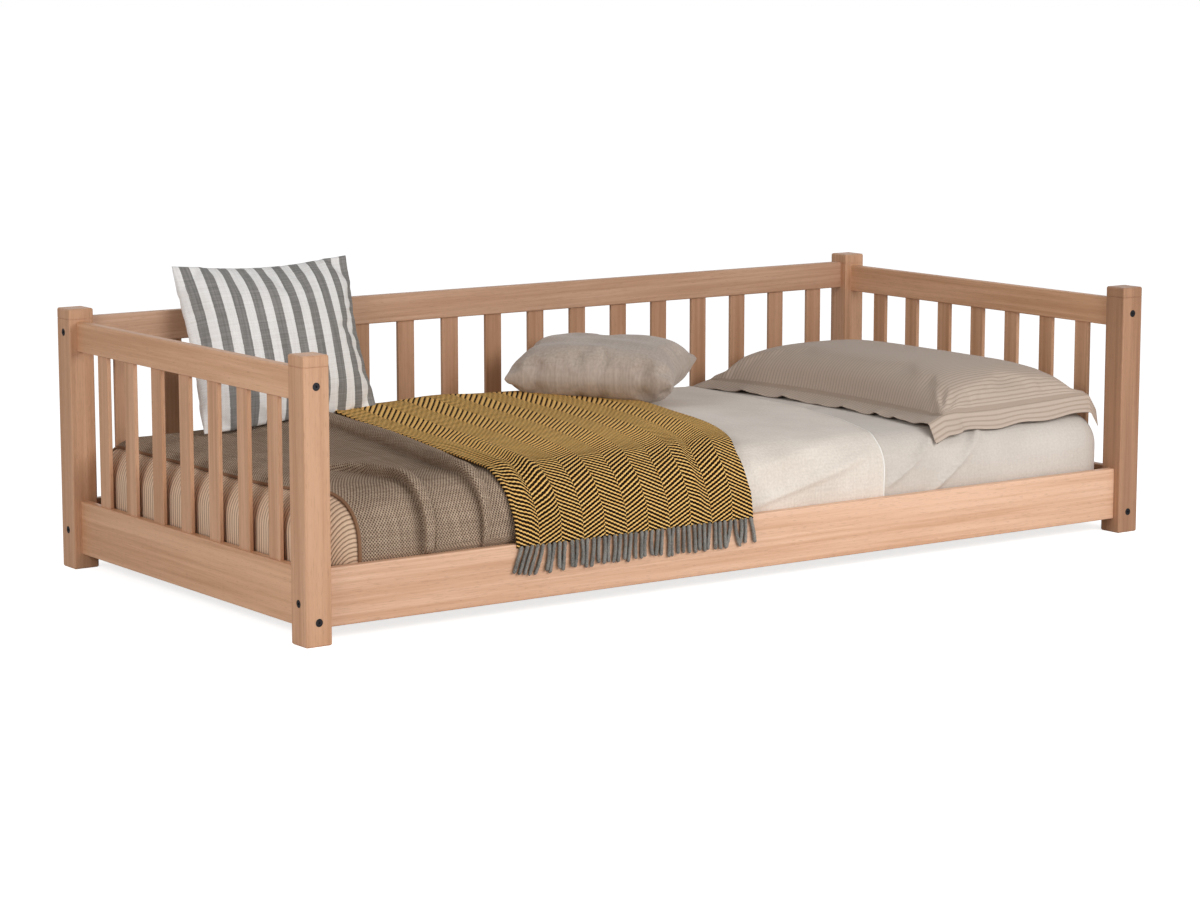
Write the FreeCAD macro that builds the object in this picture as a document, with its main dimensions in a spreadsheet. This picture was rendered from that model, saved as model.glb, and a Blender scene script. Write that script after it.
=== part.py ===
# Low kids bed with guard panels on three sides, made up with its bedding.
# Millimetres. Origin: bottom centre of the frame. +X to the head end, +Y to the back panel, +Z up.
import FreeCAD
import Part
import math
import os
import Sketcher

V = FreeCAD.Vector
UP = V(0, 0, 1)

# Driving dimensions
SIZES = (
    # mattress that the frame is built for
    ("mattress_length", 2000),
    ("mattress_width", 900),
    ("mattress_height", 160),
    ("mattress_edge", 70),
    ("mattress_corner_extra", 10),
    ("mattress_base_edge", 25),
    # posts
    ("post_size", 55),
    ("post_height", 535),
    ("post_round", 3.5),
    ("cap_height", 20),
    ("groove_width", 2),
    ("groove_depth", 1.2),
    # rails
    ("rail_thickness", 20),
    ("rail_round", 3),
    ("low_rail_bottom", 30),
    ("low_rail_height", 110),
    ("top_rail_height", 61),
    ("end_top_rail_bottom", 448),
    ("back_rail_rise", 8),
    # guard slats
    ("slat_width", 42),
    ("slat_thickness", 9),
    ("slat_round", 2),
    ("end_slat_gap", 77),
    ("back_slat_gap", 57),
    ("mortise_depth", 12),
    ("mortise_clearance", 0.15),
    # connector bolts and barrel nuts
    ("bolt_diameter", 6),
    ("bolt_clearance", 0.3),
    ("bolt_head_diameter", 15),
    ("bolt_head_height", 2.5),
    ("bolt_head_recess", 0.5),
    ("bolt_socket", 5),
    ("bolt_socket_depth", 1.8),
    ("bolt_overrun", 9),
    ("end_bolt_rise", 15),
    ("long_bolt_rise", 49),
    ("nut_diameter", 10),
    ("nut_length", 18),
    ("nut_inset", 20),
    ("nut_clearance", 0.15),
    ("thread_clearance", 0.1),
    # locating dowels
    ("dowel_diameter", 8),
    ("dowel_length", 40),
    ("dowel_chamfer", 1),
    ("dowel_clearance", 0.1),
    ("dowel_end_clearance", 0.5),
    ("top_dowel_spread", 18),
    ("low_dowel_rise", 85),
    ("end_dowel_rise", 48),
    ("long_dowel_rise", 18),
    # slatted base
    ("base_top", 98),
    ("base_slat_width", 70),
    ("base_slat_thickness", 18),
    ("base_slat_clearance", 1.5),
    ("base_slat_round", 2),
    ("base_slat_end", 15),
    ("tape_width", 25),
    ("tape_thickness", 1),
    ("tape_offset", 250),
    ("cleat_depth", 22),
    ("cleat_height", 25),
    ("cleat_end_gap", 5),
    ("cleat_round", 2),
    ("screw_diameter", 4),
    ("screw_head_diameter", 8),
    ("screw_length", 36),
    ("screw_clearance", 0.2),
    ("screw_end_margin", 60),
    # layers of bedding, from the mattress outwards
    ("layer_gap", 0.3),
    ("sheet_thickness", 1.2),
    ("cover_thickness", 2.2),
    ("blanket_thickness", 2.2),
    ("throw_thickness", 3),
    ("tuck_clearance", 1),
    ("tuck_depth", 20),
    ("tuck_rise", 8),
    ("sheet_drop", 145),
    ("cover_length", 250),
    ("top_sheet_start", 255),
    ("top_sheet_crown", 14),
    ("top_sheet_crown_run", 200),
    ("top_sheet_hem_front", 1367),
    ("top_sheet_hem_back", 1485),
    ("blanket_hem_front", 94),
    ("blanket_hem_back", 19),
    ("blanket_end", 620),
    ("blanket_loft", 3),
    ("blanket_fold_height", 9),
    ("blanket_fold_width", 40),
    ("first_fold_front", 243),
    ("first_fold_back", 300),
    ("second_fold_front", 373),
    ("second_fold_back", 530),
    ("throw_left_front", 437),
    ("throw_left_back", 555),
    ("throw_right_front", 1010),
    ("throw_right_back", 1225),
    ("throw_fold_height", 5),
    ("throw_hem_drop", 4),
    ("fringe_diameter", 8),
    ("fringe_length", 56),
    # pillows and cushion
    ("pillow_length", 860),
    ("pillow_width", 505),
    ("pillow_height", 112),
    ("pillow_flange", 42),
    ("pillow_flange_thickness", 4),
    ("pillow_draw", 30),
    ("pillow_back_shift", 5),
    ("small_pillow_length", 385),
    ("small_pillow_width", 240),
    ("small_pillow_height", 132),
    ("small_pillow_draw", 10),
    ("small_pillow_from_foot", 1130),
    ("small_pillow_from_back", 216),
    ("cushion_width", 425),
    ("cushion_height", 368),
    ("cushion_depth", 128),
    ("cushion_draw", 16),
    ("cushion_from_foot", 400),
    ("seam_thickness", 6),
)

# Counts and angles
END_SLATS = 7
BACK_SLATS = 17
BASE_SLATS = 15
CLEAT_SCREWS = 8
FRINGE_STRANDS = 44
CUSHION_LEAN = 24.5
CUSHION_ROLL = 0.5
SMALL_PILLOW_YAW = -50.0
SMALL_PILLOW_TILT = 7.0
FULL_TAPER = 0.36
SOFT_TAPER = 0.55
SMALL_PILLOW_SINK = 0.43
FRINGE_LEAN = 2.5
SETTLE_STEPS = 12
LEAN_STEPS = 6
LEAN_SHARE = 0.8

doc = FreeCAD.newDocument("kids_bed")
dims = doc.addObject("Spreadsheet::Sheet", "dims")
for row, (alias, number) in enumerate(SIZES, start=1):
    dims.set("A%d" % row, alias)
    dims.set("B%d" % row, str(number))
    dims.setAlias("B%d" % row, alias)
doc.recompute()

parts = []


def value(expression):
    """Number that an expression on the sheet's cells stands for."""
    return float(dims.evalExpression(expression))


def size(alias):
    """Number in the cell with this alias."""
    return value("dims." + alias)


# Places that several pieces share, as expressions on the sheet
SIDE_GAP = (
    "(3 * dims.layer_gap + dims.sheet_thickness + dims.cover_thickness"
    " + dims.blanket_thickness + dims.tuck_clearance)"
)
FRAME_SPREAD = "(2 * %s + dims.rail_thickness + dims.post_size)" % SIDE_GAP
HALF_LENGTH = "((dims.mattress_length + %s) / 2)" % FRAME_SPREAD
HALF_WIDTH = "((dims.mattress_width + %s) / 2)" % FRAME_SPREAD
POST_X = "(%s - dims.post_size / 2)" % HALF_LENGTH
POST_Y = "(%s - dims.post_size / 2)" % HALF_WIDTH
POST_CHAMFER = "(0.75 * dims.post_round)"
CLEAR_X = "(%s - dims.post_size)" % HALF_LENGTH
CLEAR_Y = "(%s - dims.post_size)" % HALF_WIDTH
RAIL_FACE_Y = "(%s - dims.rail_thickness / 2)" % POST_Y
LOW_RAIL_TOP = "(dims.low_rail_bottom + dims.low_rail_height)"
BACK_TOP_RAIL_BOTTOM = "(dims.end_top_rail_bottom + dims.back_rail_rise)"
BASE_BOTTOM = "(dims.base_top - dims.base_slat_thickness)"
MATTRESS_BOTTOM = "(dims.base_top + dims.layer_gap)"
MATTRESS_TOP = "(%s + dims.mattress_height)" % MATTRESS_BOTTOM
MATTRESS_CORNER = "(dims.mattress_edge + dims.mattress_corner_extra)"


def bind(item, **expressions):
    """Ties an object's properties to the sheet. Double underscores stand for dots."""
    for name, expression in expressions.items():
        item.setExpression(name.replace("__", "."), str(expression))


def place(item, x, y, z, rotation=None):
    """Sets an object's place by three expressions and a fixed rotation."""
    item.Placement = FreeCAD.Placement(V(0, 0, 0), rotation or FreeCAD.Rotation())
    bind(item, Placement__Base__x=x, Placement__Base__y=y, Placement__Base__z=z)


def keep(item, label):
    """Names a finished sub-part, which is written to its own file."""
    item.Label = label
    parts.append(item)
    return item


def feature(label, shape, placement=None):
    """Sub-part whose shape is worked out here from the sheet's sizes."""
    item = doc.addObject("Part::Feature", label)
    item.Shape = shape
    if placement:
        item.Placement = placement
    return keep(item, label)


def rectangle(body, role, width, height):
    """Sketch of a rectangle centred on one of the body's origin planes."""
    sketch = body.newObject("Sketcher::SketchObject", body.Name + "_sketch")
    plane = [item for item in body.Origin.OriginFeatures if item.Role == role][0]
    sketch.AttachmentSupport = [(plane, "")]
    sketch.MapMode = "FlatFace"
    across = value(width) / 2
    up = value(height) / 2
    corners = (V(-across, -up, 0), V(across, -up, 0), V(across, up, 0), V(-across, up, 0))
    for index in range(4):
        sketch.addGeometry(Part.LineSegment(corners[index], corners[(index + 1) % 4]), False)
    for index in range(4):
        sketch.addConstraint(Sketcher.Constraint("Coincident", index, 2, (index + 1) % 4, 1))
    for index, direction in enumerate(("Horizontal", "Vertical", "Horizontal", "Vertical")):
        sketch.addConstraint(Sketcher.Constraint(direction, index))
    sketch.addConstraint(Sketcher.Constraint("Symmetric", 0, 1, 1, 2, -1, 1))
    wide = sketch.addConstraint(Sketcher.Constraint("DistanceX", 0, 1, 0, 2, 2 * across))
    tall = sketch.addConstraint(Sketcher.Constraint("DistanceY", 1, 1, 1, 2, 2 * up))
    sketch.setExpression("Constraints[%d]" % wide, width)
    sketch.setExpression("Constraints[%d]" % tall, height)
    return sketch


def prism(name, role, width, height, length):
    """Body with a centred rectangle padded square to its plane."""
    body = doc.addObject("PartDesign::Body", name)
    pad = body.newObject("PartDesign::Pad", name + "_pad")
    pad.Profile = rectangle(body, role, width, height)
    bind(pad, Length=length)
    doc.recompute()
    return body


def edges_where(shape, test):
    """Names of the edges whose two end points pass a test."""
    names = []
    for index, edge in enumerate(shape.Edges, start=1):
        start = edge.Vertexes[0].Point
        end = edge.Vertexes[-1].Point
        if test(start, end):
            names.append("Edge%d" % index)
    return names


def dress(body, kind, test, amount):
    """Fillet or chamfer on the edges of the body's tip that pass a test."""
    tip = body.Tip
    item = body.newObject("PartDesign::" + kind, "%s_%s_%d" % (body.Name, kind.lower(), len(body.Group)))
    item.Base = (tip, edges_where(tip.Shape, test))
    bind(item, **{"Radius" if kind == "Fillet" else "Size": amount})
    doc.recompute()


def along(axis):
    """Test for edges that run along one axis (0, 1 or 2)."""
    return lambda a, b: abs((b - a)[axis]) > (b - a).Length * 0.999


def level(height):
    """Test for edges that lie at one height."""
    return lambda a, b: abs(a.z - height) < 1e-4 and abs(b.z - height) < 1e-4


TURN = {
    "+x": FreeCAD.Rotation(V(0, 0, 1), V(1, 0, 0)),
    "-x": FreeCAD.Rotation(V(0, 0, 1), V(-1, 0, 0)),
    "+y": FreeCAD.Rotation(V(0, 0, 1), V(0, 1, 0)),
    "-y": FreeCAD.Rotation(V(0, 0, 1), V(0, -1, 0)),
    "+z": FreeCAD.Rotation(),
}


def bore(name, heading, diameter, depth, at):
    """Cylinder to cut a round hole, from a point along a heading."""
    item = doc.addObject("Part::Cylinder", name)
    bind(item, Radius="(%s) / 2" % diameter, Height=depth)
    place(item, at[0], at[1], at[2], TURN[heading])
    return item


def block(name, length, width, height, at):
    """Box centred in X and Y, standing on a height."""
    item = doc.addObject("Part::Box", name)
    bind(item, Length=length, Width=width, Height=height)
    place(item, "%s - (%s) / 2" % (at[0], length), "%s - (%s) / 2" % (at[1], width), at[2])
    return item


def cut(label, base, tools):
    """Sub-part left when all the tools are cut out of a base."""
    joined = doc.addObject("Part::MultiFuse", label + "_tools")
    joined.Shapes = tools
    item = doc.addObject("Part::Cut", label + "_cut")
    item.Base = base
    item.Tool = joined
    return keep(item, label)


# Frame joints: each rail end is held to its post by a bolt, a barrel nut and two dowels
TOP_MIDDLE = "dims.top_rail_height / 2"
LOW_DOWEL = "dims.low_dowel_rise"
TOP_DOWELS = (TOP_MIDDLE + " - dims.top_dowel_spread", TOP_MIDDLE + " + dims.top_dowel_spread")
# name: (runs along, side, bottom, height, bolt rise, dowel rises), rises counted from the rail's bottom
RAILS = {
    "front_rail": ("x", -1, "dims.low_rail_bottom", "dims.low_rail_height",
                   "dims.long_bolt_rise", ("dims.long_dowel_rise", LOW_DOWEL)),
    "back_low_rail": ("x", 1, "dims.low_rail_bottom", "dims.low_rail_height",
                      "dims.long_bolt_rise", ("dims.long_dowel_rise", LOW_DOWEL)),
    "back_top_rail": ("x", 1, BACK_TOP_RAIL_BOTTOM, "dims.top_rail_height", TOP_MIDDLE, TOP_DOWELS),
    "foot_low_rail": ("y", -1, "dims.low_rail_bottom", "dims.low_rail_height",
                      "dims.end_bolt_rise", ("dims.end_dowel_rise", LOW_DOWEL)),
    "foot_top_rail": ("y", -1, "dims.end_top_rail_bottom", "dims.top_rail_height", TOP_MIDDLE, TOP_DOWELS),
    "head_low_rail": ("y", 1, "dims.low_rail_bottom", "dims.low_rail_height",
                      "dims.end_bolt_rise", ("dims.end_dowel_rise", LOW_DOWEL)),
    "head_top_rail": ("y", 1, "dims.end_top_rail_bottom", "dims.top_rail_height", TOP_MIDDLE, TOP_DOWELS),
}
POSTS = {
    "post_foot_front": (-1, -1),
    "post_foot_rear": (-1, 1),
    "post_head_front": (1, -1),
    "post_head_rear": (1, 1),
}
BOLT_HOLE = "dims.bolt_diameter + 2 * dims.bolt_clearance"
BOLT_SINK = "(dims.bolt_head_height + dims.bolt_head_recess)"
BOLT_REACH = "(dims.nut_inset + dims.bolt_overrun)"
DOWEL_HOLE = "dims.dowel_diameter + 2 * dims.dowel_clearance"
DOWEL_DEPTH = "dims.dowel_length / 2 + dims.dowel_end_clearance"


def rail_ends():
    """Yields each rail end: rail name, post name, axis, sign of the end and side of the bed."""
    for rail in RAILS:
        axis, side = RAILS[rail][:2]
        for sign in (-1, 1):
            corner = (sign, side) if axis == "x" else (side, sign)
            post = [name for name, signs in POSTS.items() if signs == corner][0]
            yield rail, post, axis, sign, side


def joint_point(axis, sign, side, reach, height):
    """Expressions for a point on a joint's line, at a distance from the bed's middle."""
    if axis == "x":
        return "%d * (%s)" % (sign, reach), "%d * (%s)" % (side, POST_Y), height
    return "%d * (%s)" % (side, POST_X), "%d * (%s)" % (sign, reach), height


def joint_bores():
    """Holes of every joint, listed by the piece that they are cut from."""
    holes = {name: [] for name in list(POSTS) + list(RAILS)}
    for rail, post, axis, sign, side in rail_ends():
        bottom, height, bolt_rise, dowel_rises = RAILS[rail][2:]
        outer = HALF_LENGTH if axis == "x" else HALF_WIDTH
        inner = CLEAR_X if axis == "x" else CLEAR_Y
        inward = ("-" if sign > 0 else "+") + axis
        outward = ("+" if sign > 0 else "-") + axis
        bolt_z = "%s + %s" % (bottom, bolt_rise)
        key = "%s_%s_" % (rail, post)
        face = joint_point(axis, sign, side, outer, bolt_z)
        seat = joint_point(axis, sign, side, inner, bolt_z)
        nut = joint_point(axis, sign, side, "%s - dims.nut_inset" % inner, bottom)
        holes[post].append(bore(key + "shank", inward, BOLT_HOLE, "dims.post_size", face))
        holes[post].append(bore(
            key + "head", inward, "dims.bolt_head_diameter + 2 * dims.bolt_clearance", BOLT_SINK, face))
        holes[rail].append(bore(key + "tip", inward, BOLT_HOLE, BOLT_REACH + " + 1", seat))
        holes[rail].append(bore(
            key + "nut", "+z", "dims.nut_diameter + 2 * dims.nut_clearance",
            "%s + dims.nut_length / 2 + dims.nut_clearance" % bolt_rise, nut))
        for index, rise in enumerate(dowel_rises):
            spot = joint_point(axis, sign, side, inner, "%s + %s" % (bottom, rise))
            holes[post].append(bore("%sdowel_%d" % (key, index), outward, DOWEL_HOLE, DOWEL_DEPTH, spot))
            holes[rail].append(bore("%stenon_%d" % (key, index), inward, DOWEL_HOLE, DOWEL_DEPTH, spot))
    return holes


# Guard slats: places along each panel
def slat_pitch(clear, gap, count):
    """Distance from slat to slat, from the clear span between posts and the gap beside a post."""
    return "((2 * %s - 2 * %s - dims.slat_width) / %d)" % (clear, gap, count - 1)


def slat_place(clear, gap, count, index):
    """Place of a slat's middle along its panel."""
    return "(-%s + %s + dims.slat_width / 2 + %d * %s)" % (
        clear, gap, index, slat_pitch(clear, gap, count))


# panel: (runs along, side, slat count, clear half span, gap beside the post, top rail's bottom)
PANELS = {
    "foot": ("y", -1, END_SLATS, CLEAR_Y, "dims.end_slat_gap", "dims.end_top_rail_bottom"),
    "head": ("y", 1, END_SLATS, CLEAR_Y, "dims.end_slat_gap", "dims.end_top_rail_bottom"),
    "back": ("x", 1, BACK_SLATS, CLEAR_X, "dims.back_slat_gap", BACK_TOP_RAIL_BOTTOM),
}


def panel_point(panel, index):
    """Expressions for the middle of a slat in plan."""
    axis, side, count, clear, gap, top = PANELS[panel]
    spot = slat_place(clear, gap, count, index)
    if axis == "x":
        return spot, "%d * (%s)" % (side, POST_Y)
    return "%d * (%s)" % (side, POST_X), spot


def mortises(holes):
    """Adds the blind mortises for the slats to the rails that hold them."""
    for panel, (axis, side, count, clear, gap, top) in PANELS.items():
        long_side = "dims.slat_width + 2 * dims.mortise_clearance"
        short_side = "dims.slat_thickness + 2 * dims.mortise_clearance"
        length, width = (long_side, short_side) if axis == "x" else (short_side, long_side)
        for index in range(count):
            x, y = panel_point(panel, index)
            low = (x, y, "%s - dims.mortise_depth" % LOW_RAIL_TOP)
            high = (x, y, top)
            name = "%s_mortise_%d" % (panel, index)
            holes[panel + "_low_rail"].append(block(name + "_low", length, width, "dims.mortise_depth", low))
            holes[panel + "_top_rail"].append(block(name + "_top", length, width, "dims.mortise_depth", high))


def make_posts(holes):
    """Square posts with eased edges and a groove that sets off the cap."""
    groove_z = "dims.post_height - dims.cap_height - dims.groove_width"
    outer = "dims.post_size * 2"
    neck = "dims.post_size - 2 * dims.groove_depth"
    for name, (x_sign, y_sign) in POSTS.items():
        body = prism(name + "_body", "XY_Plane", "dims.post_size", "dims.post_size", "dims.post_height")
        dress(body, "Fillet", along(2), "dims.post_round")
        dress(body, "Chamfer", level(0), POST_CHAMFER)
        dress(body, "Chamfer", level(size("post_height")), POST_CHAMFER)
        x = "%d * %s" % (x_sign, POST_X)
        y = "%d * %s" % (y_sign, POST_Y)
        place(body, x, y, "0")
        ring = doc.addObject("Part::Cut", name + "_groove")
        ring.Base = block(name + "_groove_outer", outer, outer, "dims.groove_width", (x, y, groove_z))
        ring.Tool = block(name + "_groove_neck", neck, neck, "dims.groove_width", (x, y, groove_z))
        cut(name, body, [ring] + holes[name])


def make_rails(holes):
    """Rails between the posts, with rounded long edges, mortises and joint holes."""
    for name, (axis, side, bottom, height, bolt_rise, dowel_rises) in RAILS.items():
        clear = CLEAR_X if axis == "x" else CLEAR_Y
        body = prism(name + "_body", "YZ_Plane", "dims.rail_thickness", height, "2 * " + clear)
        dress(body, "Fillet", along(0), "dims.rail_round")
        middle = "%s + %s / 2" % (bottom, height)
        if axis == "x":
            place(body, "-" + clear, "%d * %s" % (side, POST_Y), middle)
        else:
            place(body, "%d * %s" % (side, POST_X), "-" + clear, middle, FreeCAD.Rotation(UP, 90))
        cut(name, body, holes[name])


def make_guard_slats():
    """Upright slats, each let into the rail below and the rail above."""
    bottom = "%s - dims.mortise_depth + dims.mortise_clearance" % LOW_RAIL_TOP
    for panel, (axis, side, count, clear, gap, top) in PANELS.items():
        reach = "%s + 2 * dims.mortise_depth - 2 * dims.mortise_clearance - %s" % (top, LOW_RAIL_TOP)
        for index in range(count):
            name = "%s_slat_%d" % (panel, index + 1)
            body = prism(name, "XY_Plane", "dims.slat_width", "dims.slat_thickness", reach)
            dress(body, "Fillet", along(2), "dims.slat_round")
            x, y = panel_point(panel, index)
            place(body, x, y, bottom, None if axis == "x" else FreeCAD.Rotation(UP, 90))
            keep(body, name)


# Fasteners
def bolt_shape():
    """Connector bolt with a flat round head, its hex socket at the origin, shank along +Z."""
    head = Part.makeCylinder(size("bolt_head_diameter") / 2, size("bolt_head_height"))
    sink = value(BOLT_SINK)
    length = size("post_size") - sink + value(BOLT_REACH)
    shank = Part.makeCylinder(size("bolt_diameter") / 2, length, V(0, 0, size("bolt_head_height")))
    reach = size("bolt_socket") / math.sqrt(3)
    corners = [V(reach, 0, 0)]
    for index in range(1, 7):
        corners.append(V(reach * math.cos(index * math.pi / 3), reach * math.sin(index * math.pi / 3), 0))
    socket = Part.Face(Part.makePolygon(corners)).extrude(UP * size("bolt_socket_depth"))
    return head.fuse(shank).removeSplitter().cut(socket)


def nut_shape():
    """Barrel nut standing on Z with its thread across, along X."""
    half = size("nut_length") / 2
    barrel = Part.makeCylinder(size("nut_diameter") / 2, 2 * half, V(0, 0, -half))
    thread = size("bolt_diameter") / 2 + size("thread_clearance")
    reach = size("nut_diameter")
    return barrel.cut(Part.makeCylinder(thread, 2 * reach, V(-reach, 0, 0), V(1, 0, 0)))


def dowel_shape():
    """Wooden dowel along Z, centred, with chamfered ends."""
    half = size("dowel_length") / 2
    pin = Part.makeCylinder(size("dowel_diameter") / 2, 2 * half, V(0, 0, -half))
    rims = [edge for edge in pin.Edges if edge.isClosed()]
    return pin.makeChamfer(size("dowel_chamfer"), rims)


def screw_shape():
    """Countersunk wood screw, head face at the origin, point along +Z."""
    head = size("screw_head_diameter") / 2
    shank = size("screw_diameter") / 2
    length = size("screw_length")
    neck = head - shank
    profile = [V(0, 0, 0), V(head, 0, 0), V(shank, 0, neck), V(shank, 0, length - head), V(0, 0, length)]
    outline = Part.makePolygon(profile + [profile[0]])
    return Part.Face(outline).revolve(V(0, 0, 0), UP, 360)


def copies(shape, placements):
    """Compound of a shape repeated at each placement."""
    placed = []
    for placement in placements:
        item = shape.copy()
        item.Placement = placement
        placed.append(item)
    return Part.makeCompound(placed)


def spot(expressions):
    """Point from three expressions."""
    return V(*[value(expression) for expression in expressions])


def make_fasteners():
    """Bolts, barrel nuts and dowels of every frame joint, each kind in one group."""
    bolts = []
    nuts = []
    dowels = []
    for rail, post, axis, sign, side in rail_ends():
        bottom, height, bolt_rise, dowel_rises = RAILS[rail][2:]
        outer = HALF_LENGTH if axis == "x" else HALF_WIDTH
        inner = CLEAR_X if axis == "x" else CLEAR_Y
        turn = TURN[("-" if sign > 0 else "+") + axis]
        bolt_z = "%s + %s" % (bottom, bolt_rise)
        face = joint_point(axis, sign, side, "%s - dims.bolt_head_recess" % outer, bolt_z)
        bolts.append(FreeCAD.Placement(spot(face), turn))
        nut = joint_point(axis, sign, side, "%s - dims.nut_inset" % inner, bolt_z)
        nuts.append(FreeCAD.Placement(spot(nut), FreeCAD.Rotation(UP, 0 if axis == "x" else 90)))
        for rise in dowel_rises:
            middle = joint_point(axis, sign, side, inner, "%s + %s" % (bottom, rise))
            dowels.append(FreeCAD.Placement(spot(middle), turn))
    feature("connector_bolts", copies(bolt_shape(), bolts))
    feature("barrel_nuts", copies(nut_shape(), nuts))
    feature("locating_dowels", copies(dowel_shape(), dowels))


# Slatted base
CLEAT_LENGTH = "(2 * %s - 2 * dims.cleat_end_gap)" % CLEAR_X
CLEAT_Y = "(%s - dims.cleat_depth / 2)" % RAIL_FACE_Y
SCREW_PITCH = "((%s - 2 * dims.screw_end_margin) / %d)" % (CLEAT_LENGTH, CLEAT_SCREWS - 1)


def screw_points(side):
    """Head faces of the screws along one cleat."""
    points = []
    for index in range(CLEAT_SCREWS):
        x = "-%s / 2 + dims.screw_end_margin + %d * %s" % (CLEAT_LENGTH, index, SCREW_PITCH)
        y = "%d * (%s - dims.cleat_depth)" % (side, RAIL_FACE_Y)
        points.append((x, y, "%s - dims.cleat_height / 2" % BASE_BOTTOM))
    return points


def screw_bores(holes):
    """Adds the screws' pilot holes to the long low rails."""
    for rail, side in (("front_rail", -1), ("back_low_rail", 1)):
        heading = "-y" if side < 0 else "+y"
        for index, point in enumerate(screw_points(side)):
            face = (point[0], "%d * %s" % (side, RAIL_FACE_Y), point[2])
            depth = "dims.screw_length - dims.cleat_depth + dims.screw_clearance"
            name = "%s_pilot_%d" % (rail, index)
            holes[rail].append(bore(
                name, heading, "dims.screw_diameter + 2 * dims.screw_clearance", depth, face))


def make_cleats():
    """Ledgers screwed to the long low rails, with countersunk screw holes."""
    screws = []
    for label, side in (("front_cleat", -1), ("back_cleat", 1)):
        body = prism(label + "_body", "YZ_Plane", "dims.cleat_depth", "dims.cleat_height", CLEAT_LENGTH)
        dress(body, "Fillet", along(0), "dims.cleat_round")
        place(body, "-%s / 2" % CLEAT_LENGTH, "%d * %s" % (side, CLEAT_Y),
              "%s - dims.cleat_height / 2" % BASE_BOTTOM)
        heading = "-y" if side < 0 else "+y"
        tools = []
        for index, point in enumerate(screw_points(side)):
            hole = "dims.screw_diameter + 2 * dims.screw_clearance"
            tools.append(bore("%s_hole_%d" % (label, index), heading, hole, "dims.cleat_depth", point))
            sink = doc.addObject("Part::Cone", "%s_sink_%d" % (label, index))
            bind(sink, Radius1="dims.screw_head_diameter / 2 + dims.screw_clearance",
                 Radius2="dims.screw_diameter / 2 + dims.screw_clearance",
                 Height="(dims.screw_head_diameter - dims.screw_diameter) / 2")
            place(sink, point[0], point[1], point[2], TURN[heading])
            tools.append(sink)
            screws.append(FreeCAD.Placement(spot(point), TURN[heading]))
        cut(label, body, tools)
    feature("cleat_screws", copies(screw_shape(), screws))


def make_base():
    """Slats across the cleats, held at their spacing by two tapes underneath."""
    length = 2 * value(RAIL_FACE_Y) - 2 * size("base_slat_clearance")
    width = size("base_slat_width")
    slat = Part.makeBox(width, length, size("base_slat_thickness"), V(-width / 2, -length / 2, 0))
    slat = slat.makeFillet(size("base_slat_round"), [edge for edge in slat.Edges if along(1)(
        edge.Vertexes[0].Point, edge.Vertexes[-1].Point)])
    first = value(CLEAT_LENGTH) / 2 - size("base_slat_end") - width / 2
    pitch = 2 * first / (BASE_SLATS - 1)
    bottom = value(BASE_BOTTOM)
    spots = [FreeCAD.Placement(V(-first + index * pitch, 0, bottom), FreeCAD.Rotation())
             for index in range(BASE_SLATS)]
    feature("base_slats", copies(slat, spots))
    reach = 2 * first + width - 2 * size("base_slat_round")
    tape = Part.makeBox(reach, size("tape_width"), size("tape_thickness"),
                        V(-reach / 2, -size("tape_width") / 2, -size("tape_thickness")))
    sides = [FreeCAD.Placement(V(0, side * size("tape_offset"), bottom), FreeCAD.Rotation())
             for side in (-1, 1)]
    feature("base_tapes", copies(tape, sides))


# Mattress and what is wrapped round it
def make_mattress():
    """Foam mattress with rounded corners and full, soft upper edges."""
    body = prism("mattress", "XY_Plane", "dims.mattress_length", "dims.mattress_width", "dims.mattress_height")
    dress(body, "Fillet", along(2), MATTRESS_CORNER)
    dress(body, "Fillet", level(size("mattress_height")), "dims.mattress_edge")
    dress(body, "Fillet", level(0), "dims.mattress_base_edge")
    place(body, "0", "0", MATTRESS_BOTTOM)
    return keep(body, "mattress")


def wrap(source, inner, outer):
    """Skin between two distances from a solid's surface."""
    thick = source.makeOffsetShape(outer, 0.01, join=0)
    return thick.cut(source.makeOffsetShape(inner, 0.01, join=0))


def slab(x0, x1, z0, z1):
    """Wide box between two places along the bed and two heights."""
    reach = size("mattress_width")
    return Part.makeBox(x1 - x0, 2 * reach, z1 - z0, V(x0, -reach, z0))


SHEET_IN = "dims.layer_gap"
SHEET_OUT = "(dims.layer_gap + dims.sheet_thickness)"
COVER_IN = "(%s + dims.layer_gap)" % SHEET_OUT
COVER_OUT = "(%s + dims.cover_thickness)" % COVER_IN
BLANKET_IN = "(%s + dims.layer_gap)" % COVER_OUT
BLANKET_OUT = "(%s + dims.blanket_thickness)" % BLANKET_IN
THROW_IN = "(%s + dims.layer_gap)" % BLANKET_OUT
THROW_OUT = "(%s + dims.throw_thickness)" % THROW_IN


def foot_end():
    """Place of the mattress's foot end along the bed."""
    return -size("mattress_length") / 2


def make_fitted_sheet(mattress):
    """Sheet stretched over the mattress, ending a little above its lower face."""
    skin = wrap(mattress.Shape, value(SHEET_IN), value(SHEET_OUT))
    top = value(MATTRESS_TOP)
    reach = size("mattress_length")
    feature("fitted_sheet", skin.common(slab(-reach, reach, top - size("sheet_drop"), 2 * top)))


def make_foot_cover(mattress):
    """Ribbed cover over the foot end, drawn smooth round its corners and tucked in behind the rails."""
    foot = foot_end()
    low = value(LOW_RAIL_TOP) - size("tuck_depth")
    skin = wrap(mattress.Shape, value(COVER_IN), value(COVER_OUT))
    over = slab(2 * foot, foot + size("cover_length"), low, 2 * value(MATTRESS_TOP))
    feature("foot_cover", skin.common(over))


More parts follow.
